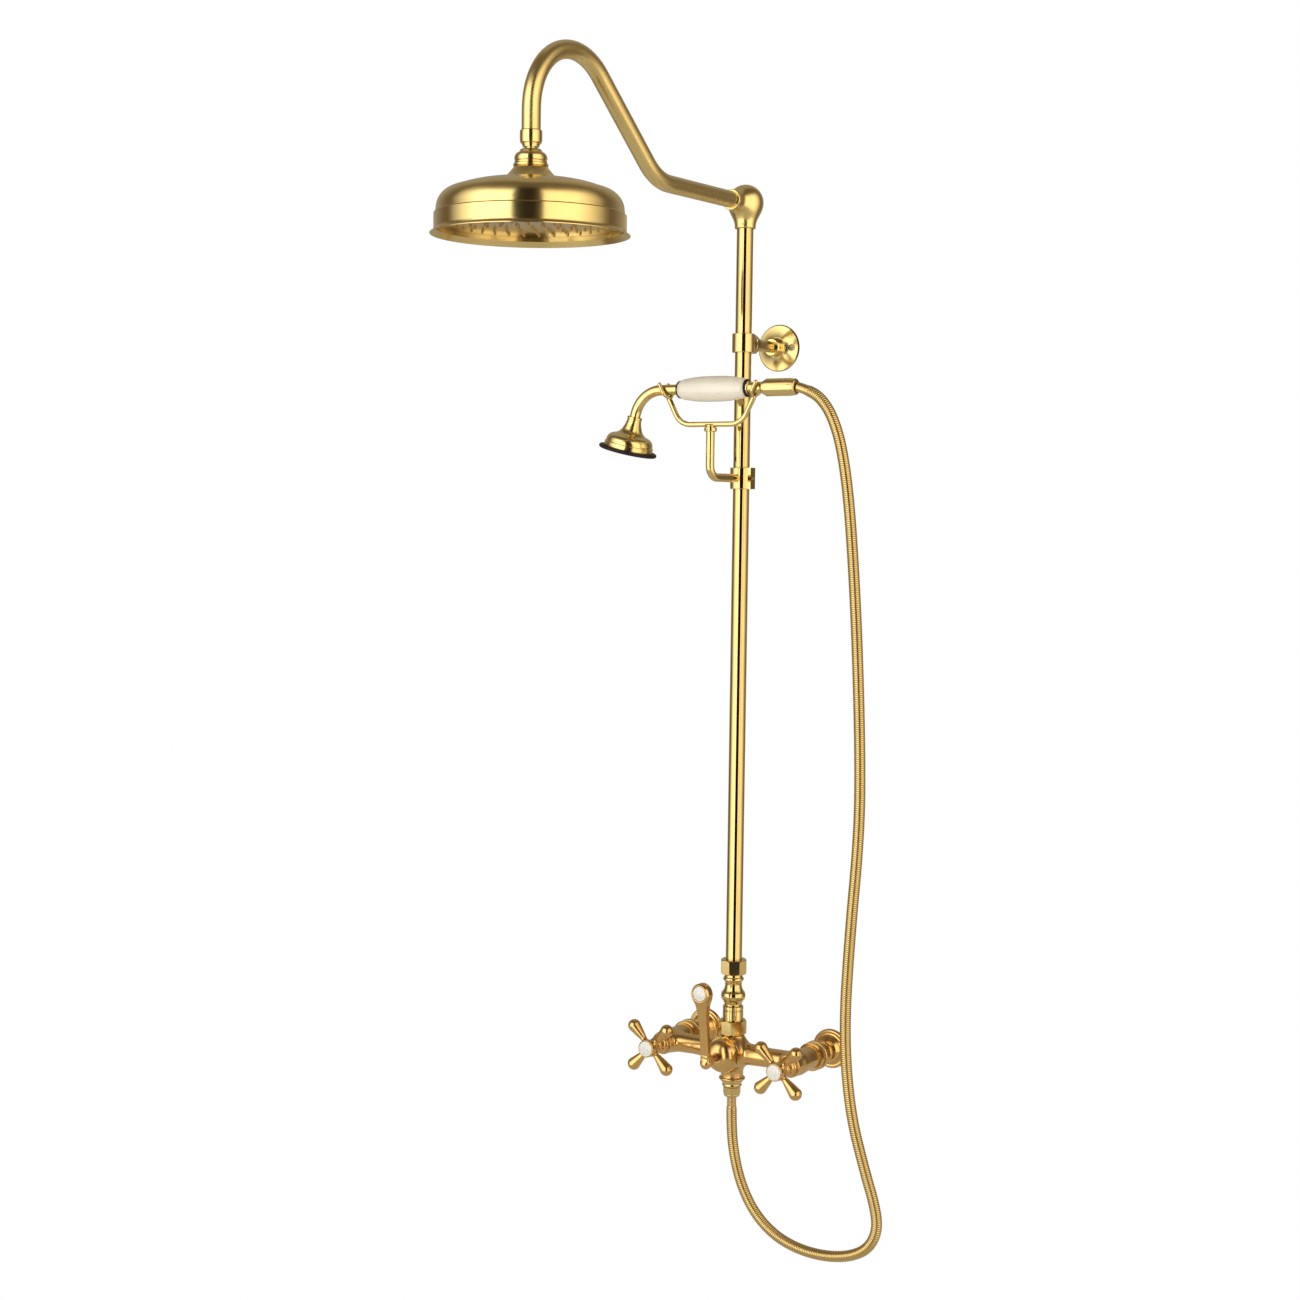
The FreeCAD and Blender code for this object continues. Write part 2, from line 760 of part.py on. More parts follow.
def lever():
    at = (0, riser_y - size("lever_forward"), -size("lever_drop"))
    face = place(extruded("lever_face", lever_face(), 60, "XZ_Plane", True), at)
    side = place(extruded("lever_side", lever_side(), 60, "YZ_Plane", True), at)
    bar = shared("lever_bar", face, side)
    drop = ball("lever_ball", size("lever_ball_dia"), at)
    spindle = size("diverter_spindle_dia")
    hub = rod("lever_hub", spindle + 5, 10, (0, riser_y - size("lever_forward") + 11, 0), OUT)
    hole = rod("lever_hole", spindle + 0.1, 8.1,
               (0, riser_y - size("lever_forward") + 11.1, 0), OUT)
    face_y = riser_y - size("lever_forward") - size("lever_lean") - size("paddle_thick") / 2
    centre = size("lever_rise") - size("lever_drop")
    disc = size("button_dia") / 2 - 0.5
    seat = rod("lever_seat", disc * 2 + 0.2, 3, (0, face_y + 2, centre), OUT)
    keep(less("lever_body", fused("lever_solid", bar, drop, hub), hole, seat), "diverter_lever")
    outline = [(0, 0), (disc, 0), (disc, 1.6), (disc - 1, 2.6, 0.3),
               (0, 3.4, crown(disc - 1, lift(0.8)))]
    keep(place(turned("lever_disc", outline), (0, face_y + 2, centre), OUT), "lever_button")


diverter()
lever()


# ---- hose outlet ----------------------------------------------------------------------------

def hose_outlet():
    bottom = -size("low_neck_depth")
    outer = size("adapter_dia") / 2
    deep = size("adapter_depth")
    outline = [(waterway - 2, 0), (outer, 0), (outer, -2), (outer - 1.6, -4, -0.6),
               (outer - 1.6, -deep + 2), (outer - 3, -deep), (8, -deep), (8, -deep - 6),
               (waterway - 2, -deep - 6)]
    adapter = place(turned("adapter", outline[::-1]), (0, riser_y, bottom))
    keep(adapter, "hose_outlet_adapter")

    start = -size("adapter_depth") - 6
    keep(flat_washer("hose_seal", 8, 4.5, 1.5, (0, riser_y, bottom + start - 1.5)),
         "hose_washer")
    outer = size("hose_nut_dia") / 2
    deep = size("hose_nut_depth")
    outline = [(8.1, 0), (8.1, -7.5), (4.5, -7.5), (4.5, -deep), (outer - 3.2, -deep),
               (outer - 0.8, -deep + 4, 0.8), (outer, -deep + 6), (outer, -1), (outer - 1, 0)]
    keep(place(turned("outlet_nut", outline), (0, riser_y, bottom - size("adapter_depth"))),
         "hose_nut_bottom")


hose_outlet()


# ---- column: nuts, baluster and riser pipe ---------------------------------------------------

def chamfered(bore_low, step, bore_high, across, height):
    """Blank of a union nut: wide bore below, lip above, corners turned off both ends."""
    corner = across / (2 * math.cos(math.pi / 8))
    return [(bore_low, 0), (across / 2 - 0.5, 0), (corner, 2), (corner, height - 2),
            (across / 2 - 0.5, height), (bore_high, height), (bore_high, step),
            (bore_low, step)]


def baluster():
    """Turned coupling with a ringed collar, a pear-shaped belly, a waist and a bead."""
    collar = size("baluster_collar_dia") / 2
    belly = size("baluster_belly_dia") / 2
    waist = size("baluster_waist_dia") / 2
    bead = size("baluster_bead_dia") / 2
    top = size("baluster_top")
    outline = [(6, 37), (11.8, 37), (11.8, 40.4), (10, 40.4), (10, 44.5), (collar, 44.5),
               (collar, 57), (collar - 1, 57.6), (collar - 1, 58.6), (collar, 59.2),
               (collar, 63), (collar - 1, 64), (waist + 0.4, 66, -0.4),
               (belly - 1, 73, -0.5), (belly - 0.8, 82, 0.8), (waist, 93.4, -1.2),
               (waist + 0.7, 94.2), (waist, 95), (bead, 99, -0.6), (bead - 0.7, 103, 0.7),
               (waist + 0.6, top, -0.5),
               (13, top), (13, top + 13), (pipe_radius + 0.05, top + 13),
               (pipe_radius + 0.05, top + 2.4), (6, top + 2.4)]
    keep(place(turned("baluster", outline), AXIS_X), "baluster_coupling")


def column():
    low = size("top_neck_height")
    across = size("lower_nut_across")
    height = size("lower_nut_top") - low
    blank = chamfered(12.1, 40.5 - low, 10.1, across, height)
    keep(faceted("lower_nut", 8, across, height, blank, (0, riser_y, low), UP, 22.5),
         "riser_nut_lower")
    baluster()
    base = size("baluster_top")
    across = size("upper_nut_across")
    height = size("upper_nut_top") - base
    blank = chamfered(13.1, 17, pipe_radius + slip, across, height)
    keep(faceted("upper_nut", 8, across, height, blank, (0, riser_y, base), UP, 11.9),
         "riser_nut_upper")
    outline = [(pipe_radius + 0.05, 0), (13, 0), (pipe_radius + 0.6, 3.9),
               (pipe_radius + 0.05, 3.9)]
    keep(place(turned("olive", outline), (0, riser_y, base + 13)), "riser_olive")
    start = base + 2.5
    top = size("elbow_height") - 26
    wall = size("pipe_wall")
    outline = [(pipe_radius - wall, start), (pipe_radius, start), (pipe_radius, top),
               (pipe_radius - wall, top)]
    keep(place(turned("riser", outline), AXIS_X), "riser_pipe")


column()


# ---- wall bracket ---------------------------------------------------------------------------

def wall_bracket():
    z = size("bracket_height")
    high = size("bracket_clamp_height")
    outer = size("bracket_clamp_dia") / 2
    bore = pipe_radius + 0.05
    sleeve = place(turned("bracket_sleeve", sleeve_outline(outer, bore, high)),
                   (0, riser_y, z - high / 2))
    boss_out = outer + 11
    across = size("bracket_boss_across")
    corner = across / (2 * math.cos(math.pi / 8))
    boss = faceted("bracket_boss", 8, across, boss_out,
                   [(0, 0), (across / 2, 0), (across / 2, outer + 1), (corner, outer + 2),
                    (corner, boss_out - 2), (across / 2 - 1, boss_out), (0, boss_out)],
                   (0, riser_y, z), BACK, 22.5)
    tube = size("bracket_tube_dia")
    cuts = [rod("bracket_bore", bore * 2, high + 2, (0, riser_y, z - high / 2 - 1)),
            rod("bracket_socket", tube + 0.1, 12, (0, riser_y + outer + 1, z), BACK)]
    keep(less("bracket_clamp_body", fused("bracket_clamp_solid", sleeve, boss), *cuts),
         "bracket_clamp")

    start = outer + 1.1
    outline = [(tube / 2 - 2, start), (tube / 2, start), (tube / 2, size("wall_to_riser") - 3),
               (tube / 2 - 2, size("wall_to_riser") - 3)]
    keep(place(turned("bracket_tube_body", outline), (0, riser_y, z), BACK), "bracket_tube")

    edge = size("bracket_flange_dia") / 2
    hub = size("bracket_hub_dia") / 2
    outline = [(0, 0), (edge, 0), (edge, 1.5), (edge - 1.5, 2.6), (hub + 2, 8.5, -0.6),
               (hub, 10, -0.3), (hub, 21), (hub - 1.5, 22.5), (tube / 2 + 0.05, 22.5),
               (tube / 2 + 0.05, 2.9), (0, 2.9)]
    plate = place(turned("bracket_plate", outline), (0, 0, z), OUT)
    spacing = size("bracket_screw_spacing") / 2
    hole = size("bracket_screw_dia")
    deep = size("bracket_screw_depth")
    cuts, screws = [], []
    for side, sign in SIDES:
        at = (spacing * sign, 1, z)
        cuts.append(rod("wall_hole_" + side, hole, 12, at, OUT))
        head = [(0, 4.4), (hole / 2 + 2, 4.4), (hole / 2 + 2, 12), (0, 12)]
        cuts.append(place(turned("head_room_" + side, head), at, OUT))
        stud = hole / 2 - 0.4
        shank = hole / 2 - 0.15
        outline = [(0, -deep), (stud, 3 - deep), (stud, 0), (shank, 0), (shank, 3.5),
                   (hole / 2 + 1.9, 3.5), (hole / 2 + 1.9, 4.6), (hole / 2 + 0.4, 6.2, 0.5),
                   (0, 6.6, 0.3)]
        screw = turned("wall_screw_body_" + side, outline)
        slot = block("wall_screw_slot_" + side, (12, 1, 3), (-6, -0.5, 5.2))
        cross = block("wall_screw_cross_" + side, (1, 12, 3), (-0.5, -6, 5.2))
        cut = less("wall_screw_" + side, screw, slot, cross)
        screws.append(place(cut, (spacing * sign, 0, z), OUT))
    cuts.append(rod("bracket_grub_hole", 5, 10, (0, -17, z - 7), DOWN))
    keep(less("bracket_flange_body", plate, *cuts), "bracket_flange")
    group("bracket_wall_screws", *screws)


def sleeve_outline(outer, bore, high):
    return [(bore, 0), (outer - 0.6, 0), (outer, 0.6), (outer, high - 0.6),
            (outer - 0.6, high), (bore, high)]


wall_bracket()


# ---- hand shower cradle ---------------------------------------------------------------------

def cradle_clamp():
    z = size("cradle_height")
    high = size("cradle_clamp_height")
    outer = size("cradle_clamp_dia") / 2
    bore = pipe_radius + 0.05
    low = z - high / 2
    sleeve = place(turned("cradle_sleeve", sleeve_outline(outer, bore, high)),
                   (0, riser_y, low))
    lug = block("cradle_lug", (outer + 3, 12, high), (0, riser_y - 6, low))
    cuts = [rod("cradle_bore", bore * 2, high + 2, (0, riser_y, low - 1)),
            rod("cradle_screw_hole", 5, outer, (bore - 1, riser_y, z), RIGHT),
            rod("cradle_post_hole", size("post_dia") + 0.1, outer, (0, riser_y, z), OUT)]
    keep(less("cradle_clamp_body", fused("cradle_clamp_solid", sleeve, lug), *cuts),
         "cradle_clamp")


def cradle_post():
    z = size("cradle_height")
    route = [(0, riser_y - pipe_radius - 0.3, z), (0, handset_y, z),
             (0, handset_y, size("fork_bottom") - 5)]
    keep(swept("post_rod", route, [SIZES["post_bend"]], size("post_dia")), "cradle_post")


def cradle_fork():
    """U-shaped rod that carries the hand shower in a pair of prongs at each end."""
    low = size("fork_bottom")
    span = size("fork_half_span")
    seat = handset_z - size("seat_drop")
    rod_dia = size("fork_rod_dia")
    route = [(-span, handset_y, seat), (-47, handset_y, low), (47, handset_y, low),
             (span, handset_y, seat)]
    solids = [swept("fork_rod", route, [26, 26], rod_dia)]
    gap = size("prong_half_gap")
    prong = size("prong_dia")
    for side, sign in SIDES:
        for which, turn in (("front", -1), ("back", 1)):
            name = "prong_%s_%s" % (side, which)
            start = ((span - 1) * sign, handset_y, seat)
            corner = ((span + 2.5) * sign, handset_y + gap * turn, seat + 6.2)
            tip = ((span + 9) * sign, handset_y + gap * turn, seat + 19)
            solids.append(swept(name, [start, corner, tip], [6], prong))
            solids.append(ball(name + "_tip", prong, tip))
        solids.append(ball("fork_end_" + side, rod_dia, (span * sign, handset_y, seat)))
    boss = turned("fork_boss", [(0, -9.5), (7.6, -9.5), (8.4, -8.7), (8.4, -4.5),
                                (6.6, -3.5, -0.4), (8, 0, -0.8), (0, 0)])
    solids.append(place(boss, (0, handset_y, low)))
    socket = rod("fork_socket", size("post_dia") + 0.1, 10, (0, handset_y, low - 14.9))
    grub = rod("fork_screw_hole", 3.5, 10, (0, handset_y, low - 7), OUT)
    keep(less("fork_body", fused("fork_solid", *solids), socket, grub), "cradle_fork")


def set_screws():
    """Grub screws of the wall flange, the cradle clamp and the fork."""
    hub = size("bracket_tube_dia") / 2
    bracket = grub_screw("bracket_grub", lift(4.8), lift(5.5),
                         (0, -17, size("bracket_height") - hub - 0.1), DOWN)
    cradle = grub_screw("cradle_grub", lift(4.8), lift(8), (pipe_radius + 0.2, riser_y,
                        size("cradle_height")), RIGHT)
    fork = grub_screw("fork_grub", lift(3.3), lift(2.6),
                      (0, handset_y - size("post_dia") / 2 - 0.1, size("fork_bottom") - 7), OUT)
    group("set_screws", bracket, cradle, fork)


cradle_clamp()
cradle_post()
cradle_fork()
set_screws()


# ---- elbow and arm --------------------------------------------------------------------------

def ball_elbow():
    z = size("elbow_height")
    socket = size("elbow_socket_dia")
    reach = size("elbow_socket_reach")
    flare = [(0, 0), (socket / 2, 0), (socket / 2, 6), (socket / 2 + 3.2, reach * 0.55, -1),
             (0, reach)]
    below = place(turned("elbow_foot", flare), (0, riser_y, z - reach))
    front = rod("elbow_mouth", socket - 1.4, reach + 1, (0, riser_y, z), OUT)
    centre = ball("elbow_ball", size("elbow_ball_dia"), (0, riser_y, z))
    groove = [(10, 0), (pipe_radius + 2.1, 0), (pipe_radius + 2.1, 2.1), (10, 2.1)]
    cuts = [rod("elbow_bore", pipe_dia + run_gap * 2, reach - 25.9,
                (0, riser_y, z - reach - 0.1)),
            rod("elbow_up_way", 16, reach, (0, riser_y, z - reach)),
            rod("elbow_side_way", 16, 20, (0, riser_y, z), OUT),
            rod("elbow_arm_bore", pipe_dia + 0.1, reach, (0, riser_y - 19, z), OUT),
            place(turned("elbow_groove", groove), (0, riser_y, z - reach + 3))]
    elbow = less("elbow_body", fused("elbow_solid", below, front, centre), *cuts)
    keep(elbow, "ball_elbow")
    outline = [(pipe_radius + run_gap, 0.1), (pipe_radius + 2, 0.1), (pipe_radius + 2, 2),
               (pipe_radius + run_gap, 2)]
    keep(place(turned("elbow_seal", outline), (0, riser_y, z - reach + 3)), "elbow_o_ring")
    outline = [(pipe_radius + 0.05, 0), (pipe_radius + 2.6, 0), (pipe_radius + 2.6, 1),
               (pipe_radius + 1.4, 2.6, 0.5), (pipe_radius + 0.05, 2.6)]
    keep(place(turned("arm_ring", outline), (0, riser_y - reach - 1, z), OUT), "elbow_collar")


def shower_arm():
    """Crook-shaped pipe: level out of the elbow, up a slope, over the top and straight down."""
    level = SIZES["elbow_height"]
    slope = math.radians(SIZES["arm_slope_deg"])
    corner = SIZES["arm_corner"]
    reach = SIZES["arm_reach"]
    crook = SIZES["arm_crook_bend"]
    climb = (reach - crook - crook * math.sin(slope) - corner) / math.cos(slope)
    centre_forward = reach - crook
    centre_z = level + climb * math.sin(slope) - crook * math.cos(slope)
    turn = (math.pi / 2 + slope) / 2
    peak = crook / math.cos(turn / 2)
    route = [(19.1, level), (corner, level)]
    for heading in (slope - turn / 2, slope - turn * 1.5):
        route.append((centre_forward - peak * math.sin(heading),
                      centre_z + peak * math.cos(heading)))
    route.append((reach, SIZES["collar_bottom"] + 7.1))
    points = [(0, -SIZES["wall_to_riser"] - forward, z) for forward, z in route]
    bends = [SIZES["arm_corner_bend"], crook, crook]
    outer = swept("arm_outside", points, bends, pipe_dia)
    inner = swept("arm_inside", points, bends, pipe_dia - size("pipe_wall") * 2)
    keep(less("arm_pipe", outer, inner), "shower_arm")


def arm_collar():
    outer = size("collar_dia") / 2
    high = size("collar_height")
    thread = size("stud_thread_dia") / 2 + run_gap
    outline = [(thread, 0), (outer - 2.6, 0), (outer - 2.6, 1.5), (outer - 0.4, 3.5, 0.6),
               (outer, 5.5), (outer, high - 2), (outer - 1.2, high, 0.4),
               (pipe_radius + 0.05, high), (pipe_radius + 0.05, 7), (thread, 7)]
    keep(place(turned("collar", outline),
               (0, riser_y - size("arm_reach"), size("collar_bottom"))), "arm_collar")


ball_elbow()
shower_arm()
arm_collar()


# ---- ball joint -----------------------------------------------------------------------------

def ball_joint():
    centre = (0, riser_y - size("arm_reach"), size("ball_height"))
    radius = SIZES["ball_dia"] / 2
    stem = size("ball_stem_dia") / 2
    stem_start = math.sqrt(radius ** 2 - stem.value ** 2)
    flat = math.sqrt(radius ** 2 - 4.8 ** 2)
    bow = bow_of(radius, (4.8, -flat), (stem.value, stem_start))
    collar = size("collar_bottom") - size("ball_height")
    thread = size("stud_thread_dia") / 2
    outline = [(4, -flat), (4.8, -flat), (stem, stem_start, bow), (stem, collar - 2.4),
               (9.5, collar - 2.2), (9.5, collar - 0.2), (thread, collar - 0.2),
               (thread, collar + 6), (4, collar + 6)]
    keep(place(turned("stud", outline), centre), "ball_stud")

    seat = radius + 0.3
    low = math.sqrt(seat ** 2 - 100)
    high = math.sqrt(seat ** 2 - 25)
    bow = bow_of(seat, (high, -5), (low, -10))
    outline = [(low, -10, -bow), (11.8, -10), (11.8, -5), (high, -5)]
    keep(place(turned("seal", outline), centre), "ball_seal")

    outer = size("swivel_nut_dia") / 2
    top = size("swivel_nut_top")
    low = -size("swivel_nut_bottom")
    neck = size("head_neck_dia") / 2 + slip
    mouth = 10.5
    socket = radius + 0.4
    lip = math.sqrt(socket ** 2 - mouth ** 2)
    bow = bow_of(socket, (mouth, lip), (socket, 0))
    outline = [(neck, low), (outer - 1, low), (outer, low + 1.2), (outer, low + 3),
               (outer - 1.6, low + 4.2), (outer - 2, low + 7, 0.4), (mouth + 3, top - 3, 2.6),
               (mouth + 2.6, top - 2), (mouth + 1.4, top), (mouth, top), (mouth, lip),
               (socket, 0, -bow), (neck, -0.6)]
    keep(place(turned("swivel", outline), centre), "swivel_nut")


ball_joint()


# ---- rain head ------------------------------------------------------------------------------

RING_COUNTS = (6, 12, 18, 24, 30)


def head_shell():
    """Spun bell: flared rim, plain band, shouldered dome and a coned neck, thin all over."""
    rim = size("rim_dia") / 2
    band = size("band_dia") / 2
    edge = size("dome_edge_dia") / 2
    wall = size("shell_wall")
    recess = size("plate_recess")
    ledge = recess + size("plate_thick") + 1.5
    top = size("head_dome_top")
    neck = size("head_neck_dia") / 2
    cone = size("head_cone_dia") / 2
    neck_top = size("ball_height") - size("rim_height") - 2
    nut_low = size("ball_height") - size("rim_height") - size("swivel_nut_bottom")
    outline = [(rim - 1.7, 0), (rim, 0), (rim, 0.8), (band, 6, -1.2), (band, size("band_top")),
               (edge + 0.6, size("band_top") + 1.4), (edge, size("dome_start")),
               (edge - 20, top - 10, 5.5), (33, top - 0.5, 2.7), (32.4, top + 0.5),
               (cone, nut_low, -0.5), (neck, nut_low), (neck, neck_top),
               (11.9, neck_top), (11.9, neck_top - 8.2), (9.5, neck_top - 8.2),
               (9.5, nut_low - 3.2), (30, top - wall - 0.5, 2.2),
               (edge - 20.6, top - 11.4, -2.6), (edge - wall, size("dome_start"), -5.4),
               (edge - wall, ledge), (band - wall, ledge), (band - wall, 6.5)]
    keep(place(turned("shell", outline),
               (0, riser_y - size("arm_reach"), size("rim_height"))), "head_shell")


def nozzle_rings(body, name, dia, depth, kind):
    """Rings of round pockets or pins in a body, one feature and one pattern for each ring."""
    for number, count in enumerate(RING_COUNTS, start=1):
        ring = "%s_%d" % (name, number)
        sketch = sketch_on(body, ring, "XY_Plane")
        away = size("nozzle_ring_step") * number
        centre = FreeCAD.Vector(away.value, 0, 0)
        circle = sketch.addGeometry(Part.Circle(centre, UP, lift(dia).value / 2), False)
        sketch.addConstraint(Sketcher.Constraint("PointOnObject", circle, 3, -1))
        rule = sketch.addConstraint(Sketcher.Constraint("DistanceX", -1, 1, circle, 3,
                                                        centre.x))
        bind(sketch, "Constraints[%d]" % rule, away)
        rule = sketch.addConstraint(Sketcher.Constraint("Diameter", circle, lift(dia).value))
        bind(sketch, "Constraints[%d]" % rule, dia)
        cut = body.newObject("PartDesign::" + kind, ring + "_feature")
        cut.Profile = sketch
        cut.Reversed = True
        bind(cut, "Length", depth)
        pattern = body.newObject("PartDesign::PolarPattern", ring + "_pattern")
        pattern.Originals = [cut]
        pattern.Axis = (sketch, ["N_Axis"])
        pattern.Angle = 360
        pattern.Occurrences = count
        body.Tip = pattern
        doc.recompute()
    return body


def head_face():
    at = (0, riser_y - size("arm_reach"), size("rim_height") + size("plate_recess"))
    thick = size("plate_thick")
    outer = size("band_dia") / 2 - size("shell_wall") - slip
    nozzle = size("nozzle_dia")
    plate = turned("face", [(0, 0), (outer, 0), (outer, thick), (0, thick)])
    plain = outer.value ** 2 * math.pi * thick.value
    nozzle_rings(plate, "face_hole", nozzle + 0.2, thick, "Pocket")
    bored = sum(RING_COUNTS) * math.pi * (nozzle.value / 2 + 0.1) ** 2 * thick.value
    print("face plate volume", round(plate.Shape.Volume, 1), "expected", round(plain - bored, 1))
    keep(place(plate, at), "head_face_plate")

    mat = turned("mat", [(0, 0), (outer - 7, 0), (outer - 7, 2), (0, 2)])
    nozzle_rings(mat, "mat_pin", nozzle, thick + size("nozzle_reach"), "Pad")
    keep(place(mat, (at[0], at[1], at[2] + thick)), "head_nozzle_mat")

    ring = [(outer - 5, 0), (outer, 0), (outer, 1.5), (outer - 5, 1.5)]
    keep(place(turned("gasket", ring), (at[0], at[1], at[2] + thick)), "head_gasket")


head_shell()
head_face()


# ---- hand shower ----------------------------------------------------------------------------

def handset():
    tube = size("handset_tube_dia")
    tilt = math.radians(SIZES["bell_tilt_deg"])
    drop = SIZES["neck_drop"]
    corner_x = -SIZES["neck_corner"]
    y = handset_y
    end_x = corner_x - drop * math.sin(tilt)
    end_z = SIZES["handset_height"] - drop * math.cos(tilt)
    route = [(60, y, handset_z), (corner_x, y, handset_z), (end_x, y, end_z)]
    bends = [SIZES["neck_bend"]]
    outer = swept("neck_outside", route, bends, tube)
    inner = swept("neck_inside", route, bends, tube - 3)
    keep(less("neck_tube", outer, inner), "handset_neck")

    left = -size("grip_left")
    long = size("grip_length")
    full = size("grip_dia") / 2
    end = size("grip_end_dia") / 2
    bore = tube / 2 + slip
    outline = [(bore, 0), (end, 0), (end + 3.4, long * 0.1, 0.8), (full, long * 0.36, 0.5),
               (full, long * 0.64, 0.15), (end + 3.4, long * 0.9, 0.5), (end, long, 0.8),
               (bore, long)]
    keep(place(turned("grip", outline), (left, y, handset_z), RIGHT), "porcelain_grip")

    thick = size("grip_washer_thick")
    cups = []
    for name, x, way in (("front", left, -RIGHT), ("rear", left + long, RIGHT)):
        cup = [(bore, 0), (end + 1.2, 0), (end + 1.2, 0.9), (bore + 2, thick, 0.4),
               (bore, thick)]
        cups.append(place(turned("cup_" + name, cup), (x, y, handset_z), way))
    group("grip_washers", *cups)

    start = left + long + thick
    nut = size("tail_nut_start") - start
    outline = [(bore, 0), (bore + 2.4, 0), (bore + 2.4, 1.6), (bore + 0.5, 2.4),
               (bore + 0.5, nut - 9), (9.4, nut - 3, -0.8), (9.4, nut), (8, nut),
               (8, nut + 8), (4.6, nut + 8), (4.6, nut - 5), (bore, nut - 8)]
    keep(place(turned("tail", outline), (start, y, handset_z), RIGHT), "handset_tailpiece")

    outer = size("tail_nut_dia") / 2
    long = size("tail_nut_length")
    outline = [(8.1, 0), (outer - 1, 0), (outer, 1), (outer, long * 0.8),
               (outer - 0.8, long - 2), (outer - 3, long, 0.5), (4.6, long), (4.6, 10),
               (8.1, 10)]
    keep(place(turned("tail_nut", outline), (size("tail_nut_start"), y, handset_z), RIGHT),
         "hose_nut_top")

    way = FreeCAD.Vector(-math.sin(tilt), 0, -math.cos(tilt))
    at = (end_x, y, end_z)
    bell = size("bell_dia") / 2
    long = size("bell_length")
    outline = [(tube / 2 - 2, 0), (9.2, 0), (10, 0.8, 0.2), (10, 2.6), (9.4, 3.2),
               (12.4, long * 0.34, -0.5), (bell - 11, long * 0.58, -1.6),
               (bell - 1.4, long - 8, 2.6), (bell - 1.4, long - 6.5), (bell, long - 5.8),
               (bell, long), (bell - 2, long), (bell - 2, long - 6),
               (bell - 12, long * 0.66, -2.2), (tube / 2 - 2, long * 0.44)]
    keep(place(turned("bell", outline), at, way), "handset_bell")

    rim = size("handset_rim_dia") / 2
    outline = [(bell - 2, long), (rim - 2.5, long), (rim - 2.5, long + 5, 2.4),
               (bell - 2, long + 5)]
    keep(place(turned("rim", outline), at, way), "handset_rim")

    disc = bell - 2.1
    face = turned("spray", [(0, long - 1), (disc, long - 1), (disc, long + 1.5),
                            (disc - 2, long + 2.5), (0, long + 2.5)])
    holes = []
    for number, (count, away) in enumerate(((6, 8.0), (12, 16.0), (18, 23.0))):
        for step in range(count):
            angle = 2 * math.pi * step / count
            spot = (away * math.cos(angle), away * math.sin(angle), long - 2)
            holes.append(rod("spray_hole_%d_%d" % (number, step), 1.6, 6, spot))
    keep(place(less("spray_plate", face, *holes), at, way), "handset_face")


handset()


# ---- hose -----------------------------------------------------------------------------------

# The hose's own route, from the hand shower's nut, over and down on the right, round under
# the body and up into the outlet: (x, distance in front of the riser, z).
HOSE_ROUTE = [
    (130.8, 79.3, 894.5), (152, 79.3, 888.7), (170.5, 79.3, 873), (184, 79.3, 850),
    (195, 79.3, 818), (205, 79.3, 765), (213, 79, 692), (222, 79, 580),
    (229.5, 78.5, 430), (229, 76, 330), (213, 67, 190), (199.5, 52, 65),
    (203, 38, -40), (221, 28, -118), (234, 22, -164), (237, 19, -196),
    (223, 16.5, -224), (195, 14, -241), (157, 11.5, -250), (114, 9, -250),
    (74, 5.5, -240), (41, 3, -217), (17, 1, -181), (4, 0, -138), (0, 0, -98),
    (0, 0, -62.4),
]
BEND_SHARE = 0.45


def hose():
    end_z = -SIZES["low_neck_depth"] - SIZES["adapter_depth"] - SIZES["hose_nut_depth"]
    first = -SIZES["wall_to_riser"]
    route = [FreeCAD.Vector(x, first - forward, z) for x, forward, z in HOSE_ROUTE]
    route[-1].z = end_z
    bends = []
    for before, corner, after in zip(route, route[1:], route[2:]):
        into, away = corner - before, after - corner
        half = into.getAngle(away) / 2
        bends.append(BEND_SHARE * min(into.Length, away.Length) / math.tan(half))
    tube = swept("hose_tube", route, bends, size("hose_dia"))
    doc.recompute()
    length = tube.Spine[0].Shape.Length
    section = math.pi * SIZES["hose_dia"] ** 2 / 4
    print("hose bends", [round(radius) for radius in bends])
    print("hose length", round(length, 1), "volume", round(tube.Shape.Volume),
          "expected", round(section * length))
    keep(tube, "hose")


hose()


# ---- check and write ------------------------------------------------------------------------

doc.recompute()
for item in doc.Objects:
    for bad in ("Invalid", "Error"):
        if bad in item.State:
            raise RuntimeError("%s is %s" % (item.Name, bad))
for piece in pieces:
    if piece.Shape.isNull() or not piece.Shape.isValid():
        raise RuntimeError(piece.Label + " has no valid shape")
    if not piece.Shape.Solids:
        raise RuntimeError(piece.Label + " has no solid")
    piece.Shape.exportStep("parts/%s.step" % piece.Label)
print(len(pieces), "pieces written")
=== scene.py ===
"""Looks of the exposed shower column: brushed brass, porcelain, rubber and a ribbed metal hose.

Metres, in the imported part's frame: +Z up, +Y into the wall, origin on the wall between the inlets.
"""
import math

import bpy
import numpy as np
from mathutils import Matrix, Vector

